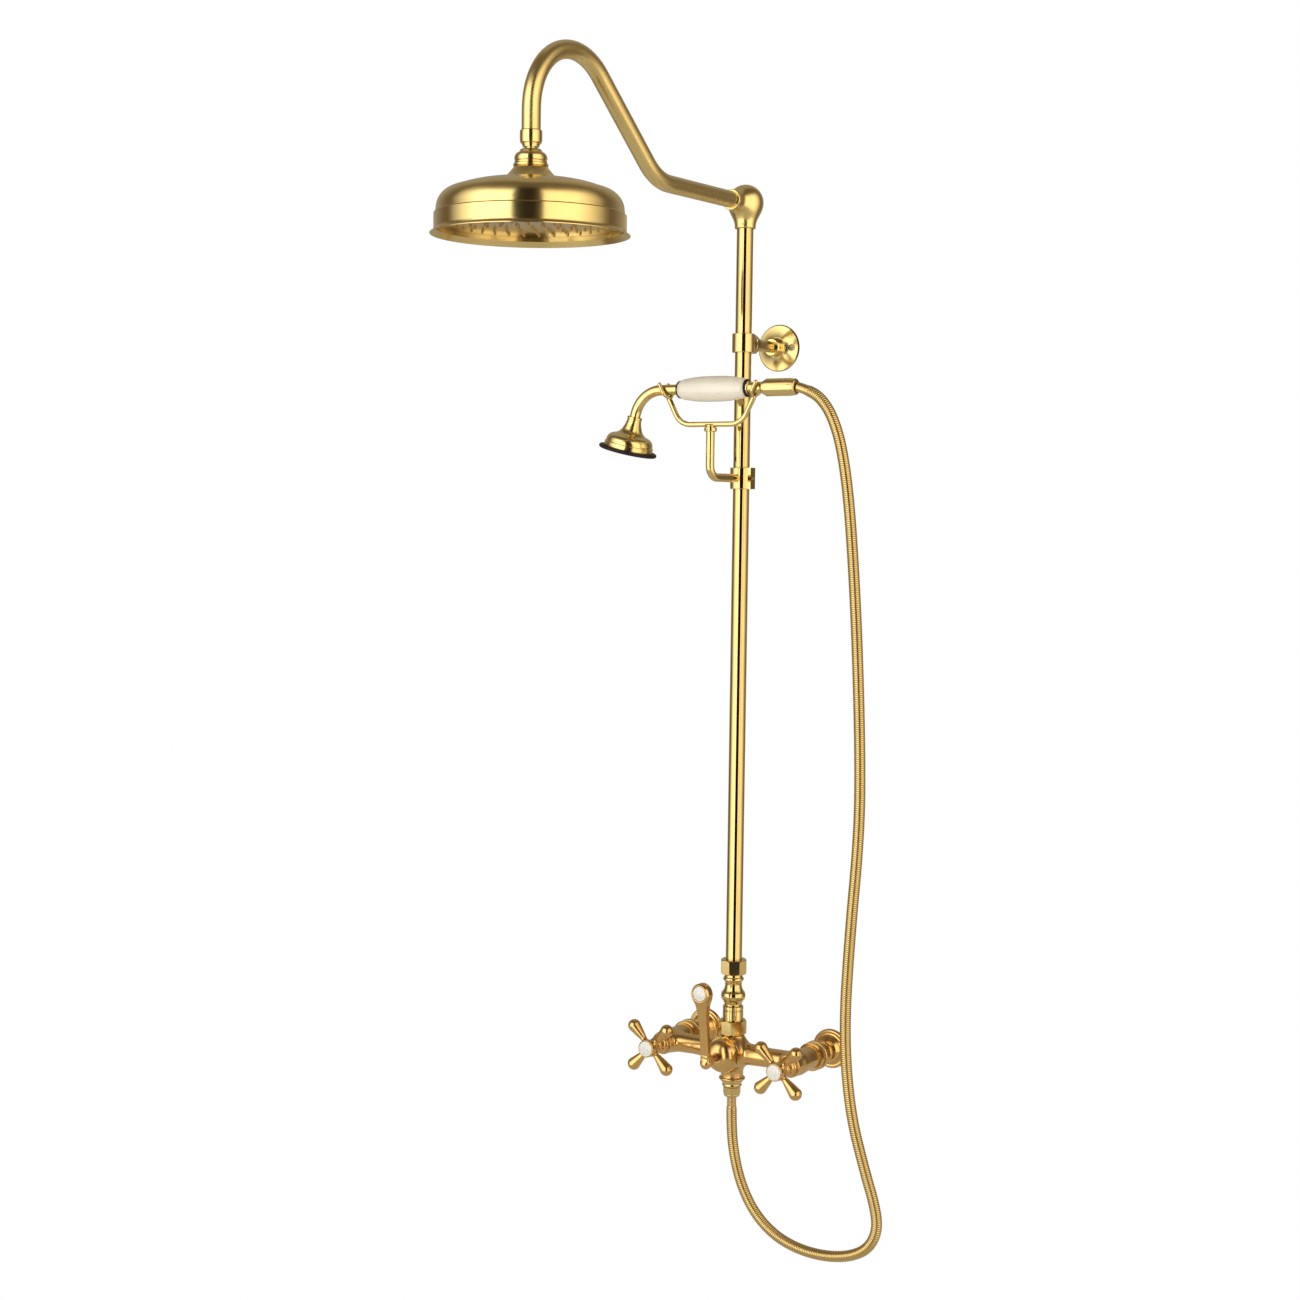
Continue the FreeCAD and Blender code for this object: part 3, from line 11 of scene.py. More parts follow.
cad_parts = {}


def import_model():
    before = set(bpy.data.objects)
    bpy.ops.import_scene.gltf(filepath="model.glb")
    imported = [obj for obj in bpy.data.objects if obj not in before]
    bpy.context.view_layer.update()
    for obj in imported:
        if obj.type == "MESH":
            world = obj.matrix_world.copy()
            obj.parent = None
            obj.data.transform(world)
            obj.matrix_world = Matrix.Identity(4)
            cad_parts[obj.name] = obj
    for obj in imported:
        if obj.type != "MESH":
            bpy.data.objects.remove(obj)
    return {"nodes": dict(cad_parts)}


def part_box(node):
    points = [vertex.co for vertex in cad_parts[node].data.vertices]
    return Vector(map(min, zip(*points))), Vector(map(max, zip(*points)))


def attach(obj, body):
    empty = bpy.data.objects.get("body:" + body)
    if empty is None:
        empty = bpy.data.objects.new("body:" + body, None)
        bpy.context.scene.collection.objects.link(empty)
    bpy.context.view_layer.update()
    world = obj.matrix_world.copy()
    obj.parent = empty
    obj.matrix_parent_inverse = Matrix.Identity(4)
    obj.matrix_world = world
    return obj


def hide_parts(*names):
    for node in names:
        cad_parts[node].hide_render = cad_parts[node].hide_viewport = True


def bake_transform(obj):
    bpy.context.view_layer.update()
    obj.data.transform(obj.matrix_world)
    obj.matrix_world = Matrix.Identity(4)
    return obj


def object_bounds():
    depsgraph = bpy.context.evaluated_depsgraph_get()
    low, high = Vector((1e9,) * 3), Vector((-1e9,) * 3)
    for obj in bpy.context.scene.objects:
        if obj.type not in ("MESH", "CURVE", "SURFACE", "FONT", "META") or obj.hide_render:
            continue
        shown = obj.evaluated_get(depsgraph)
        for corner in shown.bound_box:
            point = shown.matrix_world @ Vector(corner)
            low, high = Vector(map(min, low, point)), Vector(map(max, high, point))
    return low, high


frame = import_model()
cad_low, cad_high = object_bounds()
nodes = frame["nodes"]


def centre_of(node):
    low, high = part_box(node)
    return (low + high) / 2


riser = centre_of("riser_pipe")
head_axis = centre_of("head_shell")
grip_axis = centre_of("porcelain_grip")


# ---- shader nodes ---------------------------------------------------------------------------

def add_node(tree, kind, inputs=None, **settings):
    """One shader node; inputs are numbers, colours or the sockets that feed them."""
    made = tree.nodes.new("ShaderNode" + kind)
    for name, value in settings.items():
        setattr(made, name, value)
    for name, value in (inputs or {}).items():
        if isinstance(value, bpy.types.NodeSocket):
            tree.links.new(value, made.inputs[name])
        else:
            made.inputs[name].default_value = value
    return made


def math_of(tree, operation, first, second=0.0):
    return add_node(tree, "Math", {0: first, 1: second}, operation=operation).outputs[0]


def mixed(tree, share, first, second):
    """A colour between two, by a share from 0 to 1."""
    made = add_node(tree, "Mix", {}, data_type="RGBA")
    for socket, value in ((0, share), (6, first), (7, second)):
        if isinstance(value, bpy.types.NodeSocket):
            tree.links.new(value, made.inputs[socket])
        else:
            made.inputs[socket].default_value = value
    return made.outputs[2]


def noise(tree, where, scale, detail=3.0, roughness=0.55):
    inputs = {"Vector": where, "Scale": scale, "Detail": detail, "Roughness": roughness}
    return add_node(tree, "TexNoise", inputs).outputs["Fac"]


def ramp(tree, value, low, high, to_low, to_high):
    """A value's range laid on another range, with its ends held."""
    inputs = {"Value": value, "From Min": low, "From Max": high,
              "To Min": to_low, "To Max": to_high}
    return add_node(tree, "MapRange", inputs, clamp=True).outputs[0]


def start_material(name, **sockets):
    """A Principled material; the keywords are its sockets, with _ for the spaces."""
    made = bpy.data.materials.new(name)
    made.use_nodes = True
    shader = made.node_tree.nodes["Principled BSDF"]
    for socket, value in sockets.items():
        shader.inputs[socket.replace("_", " ")].default_value = value
    return made, made.node_tree, shader


def shade(colour, factor):
    return tuple(channel * factor for channel in colour[:3]) + (1.0,)


# ---- brass ----------------------------------------------------------------------------------

POLISHED = (0.86, 0.67, 0.28, 1.0)
FITTING = (0.80, 0.61, 0.255, 1.0)
PIPE = (0.72, 0.54, 0.22, 1.0)
HOSE_STRIP = (0.74, 0.53, 0.21, 1.0)
FACE_PLATE = (0.60, 0.44, 0.18, 1.0)
NOZZLES = (0.55, 0.39, 0.16, 1.0)
SATIN = (0.80, 0.52, 0.19, 1.0)

# Noise scales, in cells per metre, and how near two surfaces are where painted shade darkens the
# brass.
SPUN_LINES = 700.0
CAST_GRAIN = 500.0
PATCHES = 26.0
SMEARS = 90.0
SHADE_REACH = 0.005


def brass(name, colour, roughness, axis=None, centre=None, anisotropic=0.0):
    """Lacquered brass.  With an axis it is spun: fine lines run round that axis, and its
    highlights stretch along it.  Without one it is a casting with an even satin grain."""
    made, tree, shader = start_material(name, Metallic=1.0, Roughness=roughness,
                                        Anisotropic=anisotropic, Anisotropic_Rotation=0.25,
                                        IOR=1.45, Coat_Weight=0.12, Coat_Roughness=0.1)
    place = add_node(tree, "TexCoord").outputs["Object"]
    if axis:
        moved = add_node(tree, "VectorMath", {0: place, 1: tuple(centre)}, operation="SUBTRACT")
        parts = add_node(tree, "SeparateXYZ", {0: moved.outputs[0]}).outputs
        along = "XYZ".index(axis)
        across = [parts[n] for n in range(3) if n != along]
        squares = [math_of(tree, "MULTIPLY", part, part) for part in across]
        away = math_of(tree, "SQRT", math_of(tree, "ADD", *squares))
        lines = add_node(tree, "CombineXYZ", {0: parts[along], 1: away}).outputs[0]
        line = noise(tree, lines, SPUN_LINES, 3.0, 0.6)
        tangent = add_node(tree, "Tangent", {}, direction_type="RADIAL", axis=axis)
        tree.links.new(tangent.outputs[0], shader.inputs["Tangent"])
    else:
        line = noise(tree, place, CAST_GRAIN, 3.0, 0.6)
    patches = noise(tree, place, PATCHES, 4.0, 0.5)
    smear = noise(tree, place, SMEARS, 3.0, 0.6)
    tone = mixed(tree, ramp(tree, patches, 0.35, 0.65, 0.0, 1.0), shade(colour, 0.94), colour)
    # Painted shade: the base colour darkens towards 30 % in creases and recesses, wherever ambient
    # occlusion finds surfaces close.
    openness = add_node(tree, "AmbientOcclusion", {"Distance": SHADE_REACH}, samples=6)
    painted_crevice_shade = ramp(tree, openness.outputs["AO"], 0.25, 0.75, 0.7, 0.0)
    tone = mixed(tree, painted_crevice_shade, tone, shade(colour, 0.30))
    tree.links.new(tone, shader.inputs["Base Color"])
    rough = math_of(tree, "ADD", ramp(tree, smear, 0.3, 0.7, -0.05, 0.05),
                    ramp(tree, line, 0.3, 0.7, 0.93, 1.08))
    rough = math_of(tree, "MULTIPLY", rough, roughness)
    tree.links.new(rough, shader.inputs["Roughness"])
    bump = add_node(tree, "Bump", {"Strength": 0.008, "Distance": 0.0002, "Height": line})
    tree.links.new(bump.outputs[0], shader.inputs["Normal"])
    return made


# ---- the hose -------------------------------------------------------------------------------

HOSE_DIA = 0.0145
FERRULE_DIA = 0.0128
FERRULE_LENGTH = 0.017
RIB_PITCH = 0.0027
RIB_DEPTH = 0.0009
RINGS_PER_RIB = 8
HOSE_SIDES = 26

# The route from the hand shower's nut round to the outlet: (x, distance before the riser, z).
HOSE_ROUTE = [
    (0.1308, 0.0793, 0.8945), (0.152, 0.0793, 0.8887), (0.1705, 0.0793, 0.873),
    (0.184, 0.0793, 0.850), (0.195, 0.0793, 0.818), (0.205, 0.0793, 0.765),
    (0.213, 0.079, 0.692), (0.222, 0.079, 0.580), (0.2295, 0.0785, 0.430),
    (0.229, 0.076, 0.330), (0.213, 0.067, 0.190), (0.1995, 0.052, 0.065),
    (0.203, 0.038, -0.040), (0.221, 0.028, -0.118), (0.234, 0.022, -0.164),
    (0.237, 0.019, -0.196), (0.223, 0.0165, -0.224), (0.195, 0.014, -0.241),
    (0.157, 0.0115, -0.250), (0.114, 0.009, -0.250), (0.074, 0.0055, -0.240),
    (0.041, 0.003, -0.217), (0.017, 0.001, -0.181), (0.004, 0.0, -0.138),
    (0.0, 0.0, -0.098), (0.0, 0.0, -0.0624),
]


def spline_line(name, route):
    """Points along the smooth line of a route, read from its NURBS spline."""
    curve = bpy.data.curves.new(name, "CURVE")
    curve.dimensions = "3D"
    curve.resolution_u = 32
    spline = curve.splines.new("NURBS")
    spline.points.add(len(route) - 1)
    for point, place in zip(spline.points, route):
        point.co = (*place, 1.0)
    spline.order_u = 3
    spline.use_endpoint_u = True
    carrier = bpy.data.objects.new(name, curve)
    mesh = bpy.data.meshes.new_from_object(carrier)
    line = np.array([vertex.co for vertex in mesh.vertices], float)
    bpy.data.objects.remove(carrier)
    return line


def evenly(line, step):
    """The same line with points at even distances, and those distances."""
    gaps = np.linalg.norm(np.diff(line, axis=0), axis=1)
    run = np.concatenate([[0.0], np.cumsum(gaps)])
    count = int(round(run[-1] / step)) + 1
    at = np.linspace(0.0, run[-1], count)
    return np.stack([np.interp(at, run, line[:, axis]) for axis in range(3)], 1), at


def frames_along(line):
    """Two unit vectors square to the line at each point, turning as little as they can."""
    ahead = np.gradient(line, axis=0)
    ahead /= np.linalg.norm(ahead, axis=1)[:, None]
    side = np.cross(ahead[0], (0.0, 0.0, 1.0))
    sides = []
    for way in ahead:
        side = side - way * (side @ way)
        side = side / np.linalg.norm(side)
        sides.append(side)
    sides = np.array(sides)
    return sides, np.cross(ahead, sides)


def mesh_object(name, vertices, faces, material):
    """An object with smooth faces from points and their loops."""
    mesh = bpy.data.meshes.new(name)
    mesh.from_pydata([tuple(v) for v in vertices], [], [tuple(int(i) for i in f) for f in faces])
    mesh.polygons.foreach_set("use_smooth", [True] * len(mesh.polygons))
    mesh.materials.append(material)
    mesh.validate()
    made = bpy.data.objects.new(name, mesh)
    bpy.context.scene.collection.objects.link(made)
    return made


def tube(name, line, radii, sides, material):
    """A closed tube whose radius is given for each ring and each side."""
    across, up = frames_along(line)
    angle = np.linspace(0, 2 * np.pi, sides, endpoint=False)
    spokes = (across[:, None] * np.cos(angle)[None, :, None]
              + up[:, None] * np.sin(angle)[None, :, None])
    points = (line[:, None] + spokes * radii[:, :, None]).reshape(-1, 3)
    ring = np.arange(sides)
    after = (ring + 1) % sides
    faces = []
    for number in range(len(line) - 1):
        low, high = number * sides, (number + 1) * sides
        faces.extend(np.stack([low + ring, low + after, high + after, high + ring], 1))
    faces.append(ring[::-1])
    faces.append((len(line) - 1) * sides + ring)
    return mesh_object(name, points, faces, material)


def hose_radii(along, sides):
    """A plain ferrule at each end and helical ribs between them."""
    turn = np.arange(sides) / sides
    phase = (along[:, None] / RIB_PITCH + turn[None, :]) % 1.0
    ribbed = HOSE_DIA / 2 - RIB_DEPTH * np.abs(2 * phase - 1) ** 4
    from_end = np.minimum(along, along[-1] - along)[:, None]
    plain = FERRULE_DIA / 2 + 0.0004 * (from_end > FERRULE_LENGTH - 0.003)
    return np.where(from_end < FERRULE_LENGTH, plain, ribbed)


def hose(material):
    route = [(x, riser.y - forward, z) for x, forward, z in HOSE_ROUTE]
    line, along = evenly(spline_line("hose_line", route), RIB_PITCH / RINGS_PER_RIB)
    made = tube("shower_hose", line, hose_radii(along, HOSE_SIDES), HOSE_SIDES, material)
    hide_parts("hose")
    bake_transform(made)


hose_brass = brass("hose_brass_ribbed", HOSE_STRIP, 0.2)
hose(hose_brass)


# ---- finishes of the CAD nodes --------------------------------------------------------------

def porcelain(name, colour):
    made, tree, shader = start_material(name, Roughness=0.22, IOR=1.5, Coat_Weight=1.0,
                                        Coat_Roughness=0.04, Subsurface_Weight=0.08,
                                        Subsurface_Scale=0.004)
    place = add_node(tree, "TexCoord").outputs["Object"]
    cloud = noise(tree, place, 60.0, 3.0, 0.5)
    tone = mixed(tree, ramp(tree, cloud, 0.35, 0.65, 0.0, 1.0), shade(colour, 0.96), colour)
    tree.links.new(tone, shader.inputs["Base Color"])
    waves = noise(tree, place, 220.0, 2.0, 0.5)
    bump = add_node(tree, "Bump", {"Strength": 0.05, "Distance": 0.0005, "Height": waves})
    tree.links.new(bump.outputs[0], shader.inputs["Normal"])
    return made


def rubber(name, colour):
    made, tree, shader = start_material(name, Roughness=0.5, Specular_IOR_Level=0.3)
    place = add_node(tree, "TexCoord").outputs["Object"]
    dust = noise(tree, place, 300.0, 4.0, 0.6)
    tone = mixed(tree, ramp(tree, dust, 0.4, 0.7, 0.0, 1.0), colour, shade(colour, 2.2))
    tree.links.new(tone, shader.inputs["Base Color"])
    tree.links.new(ramp(tree, dust, 0.3, 0.7, 0.42, 0.6), shader.inputs["Roughness"])
    bump = add_node(tree, "Bump", {"Strength": 0.15, "Distance": 0.0003, "Height": dust})
    tree.links.new(bump.outputs[0], shader.inputs["Normal"])
    return made


def dress(material, *names):
    for name in names:
        for holder in nodes[name].material_slots:
            holder.material = material


drawn = brass("brass_drawn", POLISHED, 0.18)
plate = brass("brass_plate", FACE_PLATE, 0.16)
satin_arm = brass("brass_satin_arm", POLISHED, 0.28)
elbow_brass = brass("brass_elbow", POLISHED, 0.25)
cast = brass("brass_cast", SATIN, 0.22)
pipe_spun = brass("brass_spun_pipe", PIPE, 0.07, "Z", riser)
riser_spun = brass("brass_spun_riser", FITTING, 0.1, "Z", riser)
head_spun = brass("brass_spun_head", POLISHED, 0.22, "Z", head_axis, 0.7)
grip_spun = brass("brass_spun_grip", POLISHED, 0.2, "X", grip_axis, 0.6)
nozzle_brass = brass("brass_nozzles", NOZZLES, 0.3)
dress(drawn, "bracket_tube", "bracket_flange", "cradle_post", "cradle_fork", "elbow_collar",
      "handset_neck", "handset_bell", "handset_face")
dress(plate, "head_face_plate")
dress(pipe_spun, "riser_pipe")
dress(satin_arm, "shower_arm")
dress(riser_spun, "baluster_coupling", "riser_nut_lower", "riser_nut_upper",
      "hose_outlet_adapter", "hose_nut_bottom", "bracket_clamp", "cradle_clamp")
dress(head_spun, "head_shell", "arm_collar", "ball_stud", "swivel_nut")
dress(grip_spun, "handset_tailpiece", "hose_nut_top")
dress(cast, "inlet_flanges", "inlet_couplings", "union_nuts", "valve_bonnets",
      "diverter_bonnet")
dress(nozzle_brass, "head_nozzle_mat")
dress(porcelain("glaze_white", (0.95, 0.94, 0.91, 1)), "index_button_hot",
      "index_button_cold", "lever_button")
dress(porcelain("glaze_cream", (0.99, 0.93, 0.81, 1)), "porcelain_grip")
dress(rubber("rubber_black", (0.012, 0.009, 0.008, 1)), "handset_rim", "grip_washers",
      "head_gasket")


# ---- castings: distance fields in millimetres, joined smoothly ------------------------------

RISER_Y = riser.y * 1000
INLET_X = 101.5
MIXER_FRONT = RISER_Y - 22
HANDLE_BACK = RISER_Y - 35
ELBOW_Z = 1145.0


def tapered(p, start, end, first, last, ease=1.0):
    """A round-ended rod whose radius runs from first to last."""
    start = np.array(start, float)
    way = np.array(end, float) - start
    share = np.clip((p - start) @ way / (way @ way), 0.0, 1.0)
    gap = np.linalg.norm(p - start - share[..., None] * way, axis=-1)
    return gap - (first + (last - first) * share ** ease)


def drum(p, start, end, radius, edge=0.4):
    """A flat-ended round bar with its edges rounded."""
    start = np.array(start, float)
    way = np.array(end, float) - start
    half = np.linalg.norm(way) / 2
    way = way / (half * 2)
    local = p - start - way * half
    along = local @ way
    away = np.linalg.norm(local - along[..., None] * way, axis=-1)
    outside = np.stack([away - (radius - edge), np.abs(along) - (half - edge)], -1)
    beyond = np.linalg.norm(np.maximum(outside, 0.0), axis=-1)
    return beyond + np.minimum(outside.max(axis=-1), 0.0) - edge


def join(first, second, blend):
    """Union of two fields with a fillet of about that size between them."""
    share = np.clip(0.5 + 0.5 * (second - first) / blend, 0.0, 1.0)
    return second + (first - second) * share - blend * share * (1 - share)


def carve(field, *tools):
    for tool in tools:
        field = np.maximum(field, -tool)
    return field


def slope_of(field, points):
    step = 0.05
    parts = []
    for axis in np.eye(3) * step:
        parts.append((field(points + axis) - field(points - axis)) / (2 * step))
    return np.stack(parts, -1)


def net_points(field, grid, value, active, step):
    """One point in each active cell: the mean of its edge crossings, drawn onto the surface."""
    cells = np.argwhere(active)
    total = np.zeros((len(cells), 3))
    count = np.zeros(len(cells))
    for axis in range(3):
        others = [n for n in range(3) if n != axis]
        for first in (0, 1):
            for second in (0, 1):
                low = cells.copy()
                low[:, others[0]] += first
                low[:, others[1]] += second
                high = low.copy()
                high[:, axis] += 1
                before = value[tuple(low.T)]
                after = value[tuple(high.T)]
                crossed = (before < 0) != (after < 0)
                gap = np.where(crossed, before - after, 1.0)
                where = grid[tuple(low.T)].copy()
                where[:, axis] += np.where(crossed, before / gap, 0.0) * step
                total += where * crossed[:, None]
                count += crossed
    points = total / count[:, None]
    for _ in range(3):
        slope = slope_of(field, points)
        size = np.maximum((slope ** 2).sum(-1), 0.25)
        points = points - slope * (field(points) / size)[:, None]
    return points


def surface_net(field, low, high, step):
    """Points and quads on the zero level of a field inside a box."""
    axes = [np.arange(a - 2 * step, b + 2.5 * step, step) for a, b in zip(low, high)]
    grid = np.stack(np.meshgrid(*axes, indexing="ij"), -1)
    value = field(grid)
    inside = value < 0
    corners = np.zeros(tuple(n - 1 for n in inside.shape), int)
    for corner in np.ndindex(2, 2, 2):
        window = tuple(slice(c, n - 1 + c) for c, n in zip(corner, inside.shape))
        corners += inside[window]
    active = (corners > 0) & (corners < 8)
    number = np.full(active.shape, -1)
    number[active] = np.arange(active.sum())
    points = net_points(field, grid, value, active, step)
    quads = []
    for axis in range(3):
        second, third = (axis + 1) % 3, (axis + 2) % 3
        low_side = np.take(inside, range(inside.shape[axis] - 1), axis)
        high_side = np.take(inside, range(1, inside.shape[axis]), axis)
        edges = np.argwhere(low_side != high_side)
        around = []
        for back_second, back_third in ((0, 0), (1, 0), (1, 1), (0, 1)):
            cell = edges.copy()
            cell[:, second] -= back_second
            cell[:, third] -= back_third
            around.append(number[tuple(cell.T)])
        around = np.stack(around, 1)
        outward = low_side[tuple(edges.T)]
        around[~outward] = around[~outward][:, ::-1]
        quads.append(around)
    return points, np.concatenate(quads)


def casting(name, node, body, field, low, high, step, material=cast):
    points, quads = surface_net(field, low, high, step)
    made = mesh_object(name, points / 1000, quads, material)
    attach(made, body)
    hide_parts(node)
    return made


def mixer_field(p):
    front = MIXER_FRONT
    tube = tapered(p, (0, RISER_Y, 0), (0, RISER_Y, 0.1), 15.5, 15.5)
    for side in (-1, 1):
        tube = np.minimum(tube, tapered(p, (0, RISER_Y, 0), (60 * side, RISER_Y, 0), 15.8, 13))
        tube = np.minimum(tube, tapered(p, (60 * side, RISER_Y, 0),
                                        (INLET_X * side, RISER_Y, 0), 13, 14.2))
    neck = drum(p, (0, RISER_Y, -36), (0, RISER_Y, 27), 15.3, 0.8)
    whole = join(tube, neck, 14.0)
    bulb = np.minimum(tapered(p, (0, RISER_Y, 0), (0, RISER_Y, 0.1), 24.0, 24.0),
                      drum(p, (0, RISER_Y, 0), (0, front, 0), 24.0, 1.0))
    whole = join(whole, bulb, 6.0)
    for side in (-1, 1):
        x = INLET_X * side
        barrel = drum(p, (x, -59, 0), (x, front, 0), 15.75, 1.4)
        whole = join(whole, barrel, 7.0)
    whole = np.maximum(whole, p[..., 2] - 24.7)
    whole = np.maximum(whole, front - p[..., 1])
    whole = join(whole, drum(p, (0, RISER_Y, -38), (0, RISER_Y, -34.8), 17.8, 0.8), 1.2)
    whole = np.minimum(whole, drum(p, (0, RISER_Y, 20), (0, RISER_Y, 35), 12))
    tools = [drum(p, (0, RISER_Y + 8, 0), (0, front - 4, 0), 14),
             drum(p, (0, RISER_Y, -40), (0, RISER_Y, 37), 6)]
    for side in (-1, 1):
        x = INLET_X * side
        whole = np.minimum(whole, drum(p, (x, -49.5, 0), (x, -62, 0), 14.8))
        tools.append(drum(p, (x, RISER_Y + 2, 0), (x, front - 4, 0), 10.5))
        tools.append(drum(p, (x, -45, 0), (x, RISER_Y, 0), 7))
    return carve(whole, *tools)


def handle_field(x):
    """Hub and four petals of the cross handle that stands at x."""
    back = HANDLE_BACK

    def field(p):
        hub = drum(p, (x, back, 0), (x, back - 4, 0), 10.6, 1.2)
        hub = join(hub, drum(p, (x, back, 0), (x, back - 20, 0), 8.4), 3.0)
        hub = join(hub, drum(p, (x, back - 19, 0), (x, back - 27, 0), 12.0, 1.0), 5.0)
        petals = None
        for quarter in range(4):
            angle = math.radians(45 + 90 * quarter)
            way = np.array([math.cos(angle), 0.0, math.sin(angle)])
            start = np.array([x, back - 15, 0.0])
            stem = tapered(p, start, start + way * 13, 4.6, 3.75)
            leaf = tapered(p, start + way * 13, start + way * 37.6, 3.75, 8.8, 0.9)
            petal = np.minimum(stem, leaf)
            petals = petal if petals is None else join(petals, petal, 4.0)
        whole = np.maximum(join(hub, petals, 5.0), back - 27 - p[..., 1])
        return carve(whole, drum(p, (x, back - 24.5, 0), (x, back - 29, 0), 10.65),
                     drum(p, (x, back + 2, 0), (x, back - 18, 0), 4.05),
                     drum(p, (x, back - 17, 0), (x, back - 25, 0), 4.8))
    return field


def lever_field(p):
    """Ball end, flat bar that leans forward and flares, and a round paddle with a bezel."""
    lean, rise, disc = 12.0, 98.0, 13.5
    q = p - np.array([0.0, RISER_Y - 68, -3.0])
    along = np.clip(q[..., 2] / rise, 0.0, 1.0)
    middle = -lean * along ** 1.25
    flare = np.clip((q[..., 2] - (rise - 44)) / 34, 0.0, 1.0)
    width = 6.4 + 4.4 * flare ** 2
    thick = 4.4 + 1.6 * flare
    edge = 2.2
    outside = np.stack([np.abs(q[..., 0]) - (width - edge),
                        np.abs(q[..., 1] - middle) - (thick - edge),
                        np.abs(q[..., 2] - rise / 2) - (rise / 2 - edge)], -1)
    bar = (np.linalg.norm(np.maximum(outside, 0.0), axis=-1)
           + np.minimum(outside.max(axis=-1), 0.0) - edge)
    paddle = drum(q, (0, -lean + 6.5, rise), (0, -lean - 6.5, rise), disc, 2.4)
    whole = join(bar, paddle, 6.0)
    whole = join(whole, tapered(q, (0, 0, 0), (0, 0, 0.1), 7.5, 7.5), 2.5)
    whole = join(whole, drum(q, (0, 0, 9), (0, -0.1, 11), 6.6, 0.9), 1.0)
    whole = join(whole, drum(q, (0, 11, 3), (0, 0, 3), 7.4, 0.8), 3.0)
    face = -lean - 6.5
    away = np.hypot(q[..., 0], q[..., 2] - rise)
    bezel = np.hypot(away - 11.2, q[..., 1] - face) - 1.0
    whole = join(whole, bezel, 0.6)
    return carve(whole, drum(q, (0, face + 2, rise), (0, face - 3, rise), 10.1, 0.2),
                 drum(q, (0, 12, 3), (0, 3, 3), 5.05, 0.2))


def elbow_field(p):
    z = ELBOW_Z
    centre = (0, RISER_Y, z)
    foot = drum(p, (0, RISER_Y, z - 34), centre, 13.9, 0.6)
    whole = join(foot, tapered(p, centre, (0, RISER_Y, z + 0.1), 23.9, 23.9), 11.0)
    mouth = drum(p, centre, (0, RISER_Y - 35, z), 13.2, 0.6)
    whole = join(whole, mouth, 5.0)
    return carve(whole, drum(p, (0, RISER_Y, z - 36), (0, RISER_Y, z - 25.9), 11.1, 0.2),
                 drum(p, (0, RISER_Y - 19, z), (0, RISER_Y - 37, z), 11.1, 0.2))


casting("mixer_casting", "mixer_body", "root", mixer_field,
        (-118, MIXER_FRONT, -38), (118, -49, 36), 1.1)
for warmth, x in (("hot", -INLET_X), ("cold", INLET_X)):
    casting("cross_casting_" + warmth, "cross_handle_" + warmth, warmth + "_handle",
            handle_field(x), (x - 37, RISER_Y - 62, -37), (x + 37, HANDLE_BACK, 37), 0.8)
casting("lever_casting", "diverter_lever", "diverter", lever_field,
        (-14, RISER_Y - 89, -11), (14, RISER_Y - 56, 109), 0.8)
casting("elbow_casting", "ball_elbow", "arm", elbow_field,
        (-25, RISER_Y - 36, 1110), (25, RISER_Y + 25, 1170), 1.0, elbow_brass)


# ---- stage, light and camera ----------------------------------------------------------------

VIEW_AZIMUTH = 0.5896
VIEW_PITCH = math.radians(3.82)
VIEW_ROLL = math.radians(0.73)
VIEW_PLACE = Vector((1.4628, -2.4966, 0.7354))
LENS = 57.81
SENSOR = 36.0

LEFT_PANEL = (2.05, 2.02, 1.88, 1)
RIGHT_PANEL = (1.70, 1.50, 1.20, 1)
ROOM = (0.15, 0.115, 0.09, 1)
ROOM_BEHIND = (0.36, 0.33, 0.28, 1)
DARK_GAP = (0.012, 0.006, 0.004, 1)
FLOOR_GREY = (0.62, 0.62, 0.62, 1)
FLOOR_GLOW = (1.0, 0.96, 0.90, 1)
FLOOR_REACH = 2.4
FLOOR_DROP = 0.35
WHITE = (1, 1, 1, 1)


def camera():
    lens = bpy.data.cameras.new("view")
    lens.lens = LENS
    lens.sensor_width = SENSOR
    made = bpy.data.objects.new("view", lens)
    forward = Vector((-math.sin(VIEW_AZIMUTH) * math.cos(VIEW_PITCH),
                      math.cos(VIEW_AZIMUTH) * math.cos(VIEW_PITCH), -math.sin(VIEW_PITCH)))
    level = Vector((math.cos(VIEW_AZIMUTH), math.sin(VIEW_AZIMUTH), 0))
    above = level.cross(forward)
    right = level * math.cos(VIEW_ROLL) + above * math.sin(VIEW_ROLL)
    up = above * math.cos(VIEW_ROLL) - level * math.sin(VIEW_ROLL)
    turn = Matrix((right, up, -forward)).transposed()
    made.matrix_world = Matrix.Translation(VIEW_PLACE) @ turn.to_4x4()
    bpy.context.scene.collection.objects.link(made)
    bpy.context.scene.camera = made


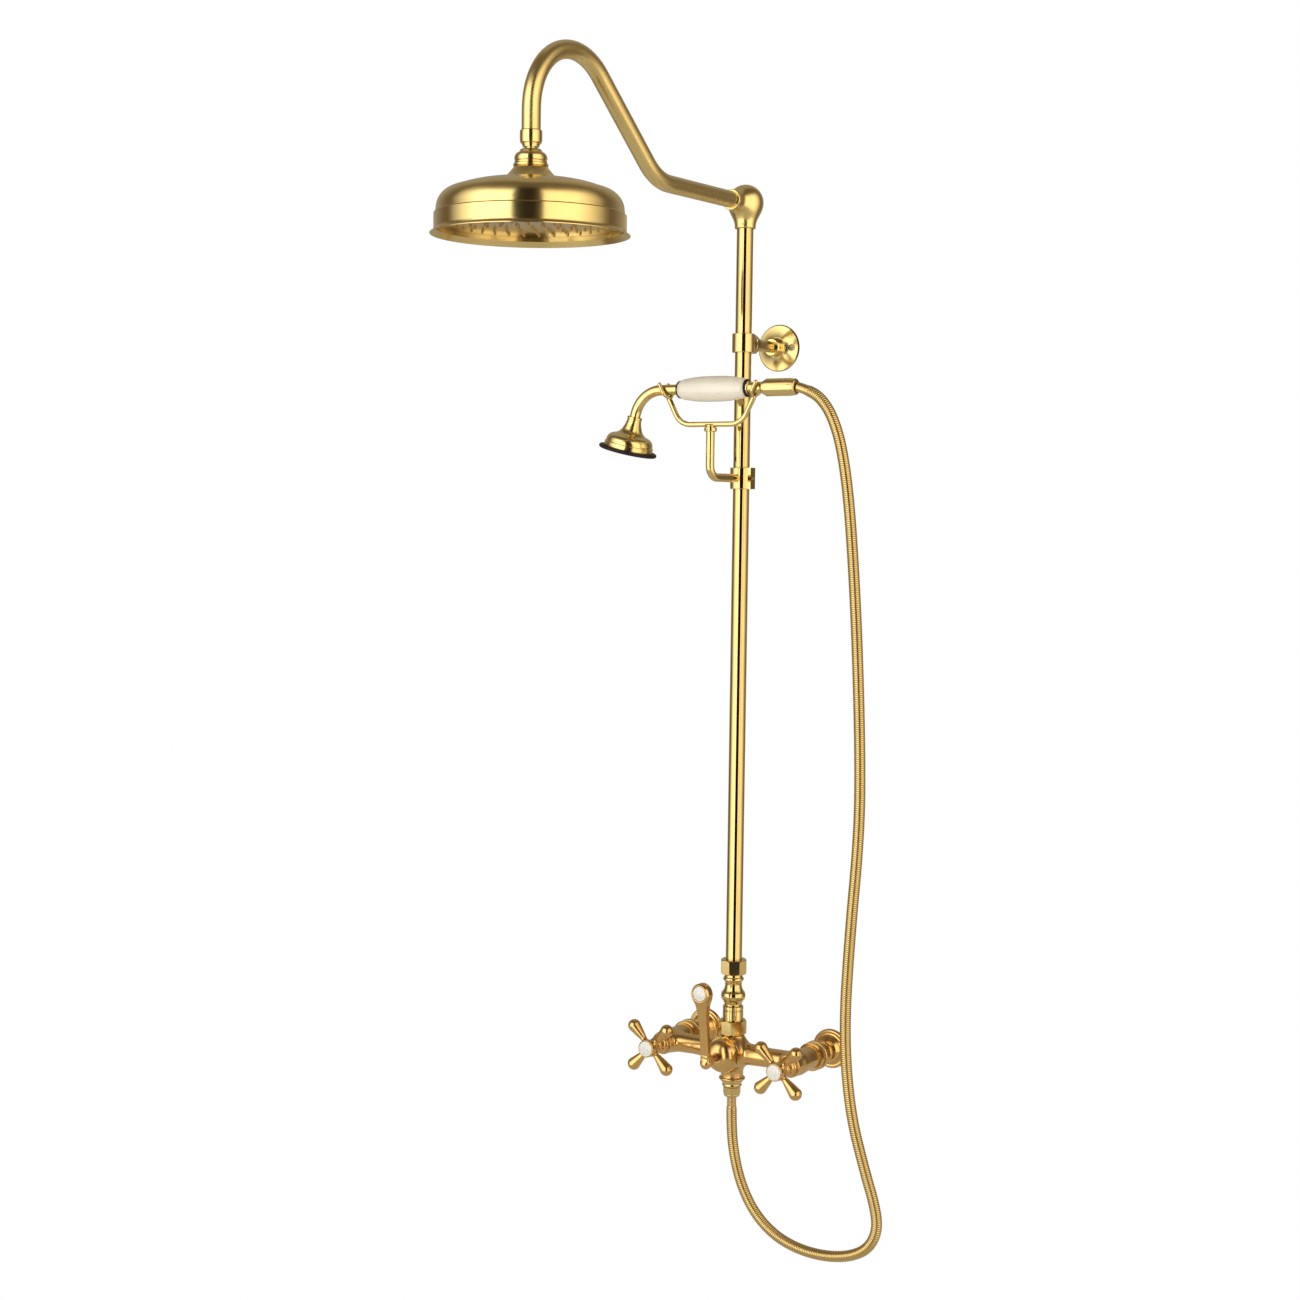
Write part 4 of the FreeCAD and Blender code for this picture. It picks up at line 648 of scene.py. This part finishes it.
def world():
    """A dim warm room with a tall soft panel on each side of the camera and a weaker glow
    behind; a narrow black gap stands between the panels.  The camera itself sees white."""
    made = bpy.data.worlds.new("studio")
    made.use_nodes = True
    tree = made.node_tree
    tree.nodes.clear()
    way = add_node(tree, "SeparateXYZ", {0: add_node(tree, "TexCoord").outputs["Generated"]})
    x, y, z = way.outputs
    ahead = math_of(tree, "SUBTRACT", math_of(tree, "MULTIPLY", x, math.sin(VIEW_AZIMUTH)),
                    math_of(tree, "MULTIPLY", y, math.cos(VIEW_AZIMUTH)))
    aside = math_of(tree, "ADD", math_of(tree, "MULTIPLY", x, math.cos(VIEW_AZIMUTH)),
                    math_of(tree, "MULTIPLY", y, math.sin(VIEW_AZIMUTH)))
    turn = math_of(tree, "MULTIPLY", math_of(tree, "ARCTAN2", aside, ahead), 180 / math.pi)
    off = math_of(tree, "ABSOLUTE", turn)
    height = math_of(tree, "ABSOLUTE", z)
    panel = math_of(tree, "MULTIPLY", ramp(tree, off, 17.5, 20.0, 0.0, 1.0),
                    ramp(tree, off, 62.0, 108.0, 1.0, 0.0))
    panel = math_of(tree, "MULTIPLY", panel, ramp(tree, height, 0.55, 0.8, 1.0, 0.0))
    lit = mixed(tree, ramp(tree, turn, -5.0, 5.0, 0.0, 1.0), LEFT_PANEL, RIGHT_PANEL)
    room = mixed(tree, ramp(tree, off, 118.0, 150.0, 0.0, 1.0), ROOM, ROOM_BEHIND)
    gap = math_of(tree, "MULTIPLY", ramp(tree, off, 17.5, 21.0, 1.0, 0.0),
                  ramp(tree, height, 0.75, 0.9, 1.0, 0.0))
    room = mixed(tree, gap, room, DARK_GAP)
    seen_by_metal = mixed(tree, panel, room, lit)
    glow = add_node(tree, "Background", {"Color": seen_by_metal, "Strength": 1.0})
    white = add_node(tree, "Background", {"Color": WHITE, "Strength": 1.0})
    seen = add_node(tree, "LightPath").outputs["Is Camera Ray"]
    both = add_node(tree, "MixShader", {0: seen, 1: glow.outputs[0], 2: white.outputs[0]})
    output = tree.nodes.new("ShaderNodeOutputWorld")
    tree.links.new(both.outputs[0], output.inputs[0])
    bpy.context.scene.world = made


def floor():
    """A pale floor below the part, small enough that level reflections pass over its edge."""
    made, tree, shader = start_material("pale_floor", Roughness=0.9)
    shader.inputs["Base Color"].default_value = FLOOR_GREY
    output = tree.nodes["Material Output"]
    seen = add_node(tree, "LightPath").outputs["Is Camera Ray"]
    glow = add_node(tree, "Emission", {"Color": WHITE, "Strength": 1.0})
    lit = add_node(tree, "Emission", {"Color": FLOOR_GLOW, "Strength": 0.2})
    below = add_node(tree, "AddShader", {0: shader.outputs[0], 1: lit.outputs[0]})
    both = add_node(tree, "MixShader", {0: seen, 1: below.outputs[0], 2: glow.outputs[0]})
    tree.links.new(both.outputs[0], output.inputs[0])
    reach = FLOOR_REACH
    low = cad_low.z - FLOOR_DROP
    corners = [(-reach, -reach, low), (reach, -reach, low), (reach, reach, low),
               (-reach, reach, low)]
    mesh_object("floor", corners, [(0, 1, 2, 3)], made)


camera()
world()
floor()

bpy.context.scene.view_settings.view_transform = "Standard"
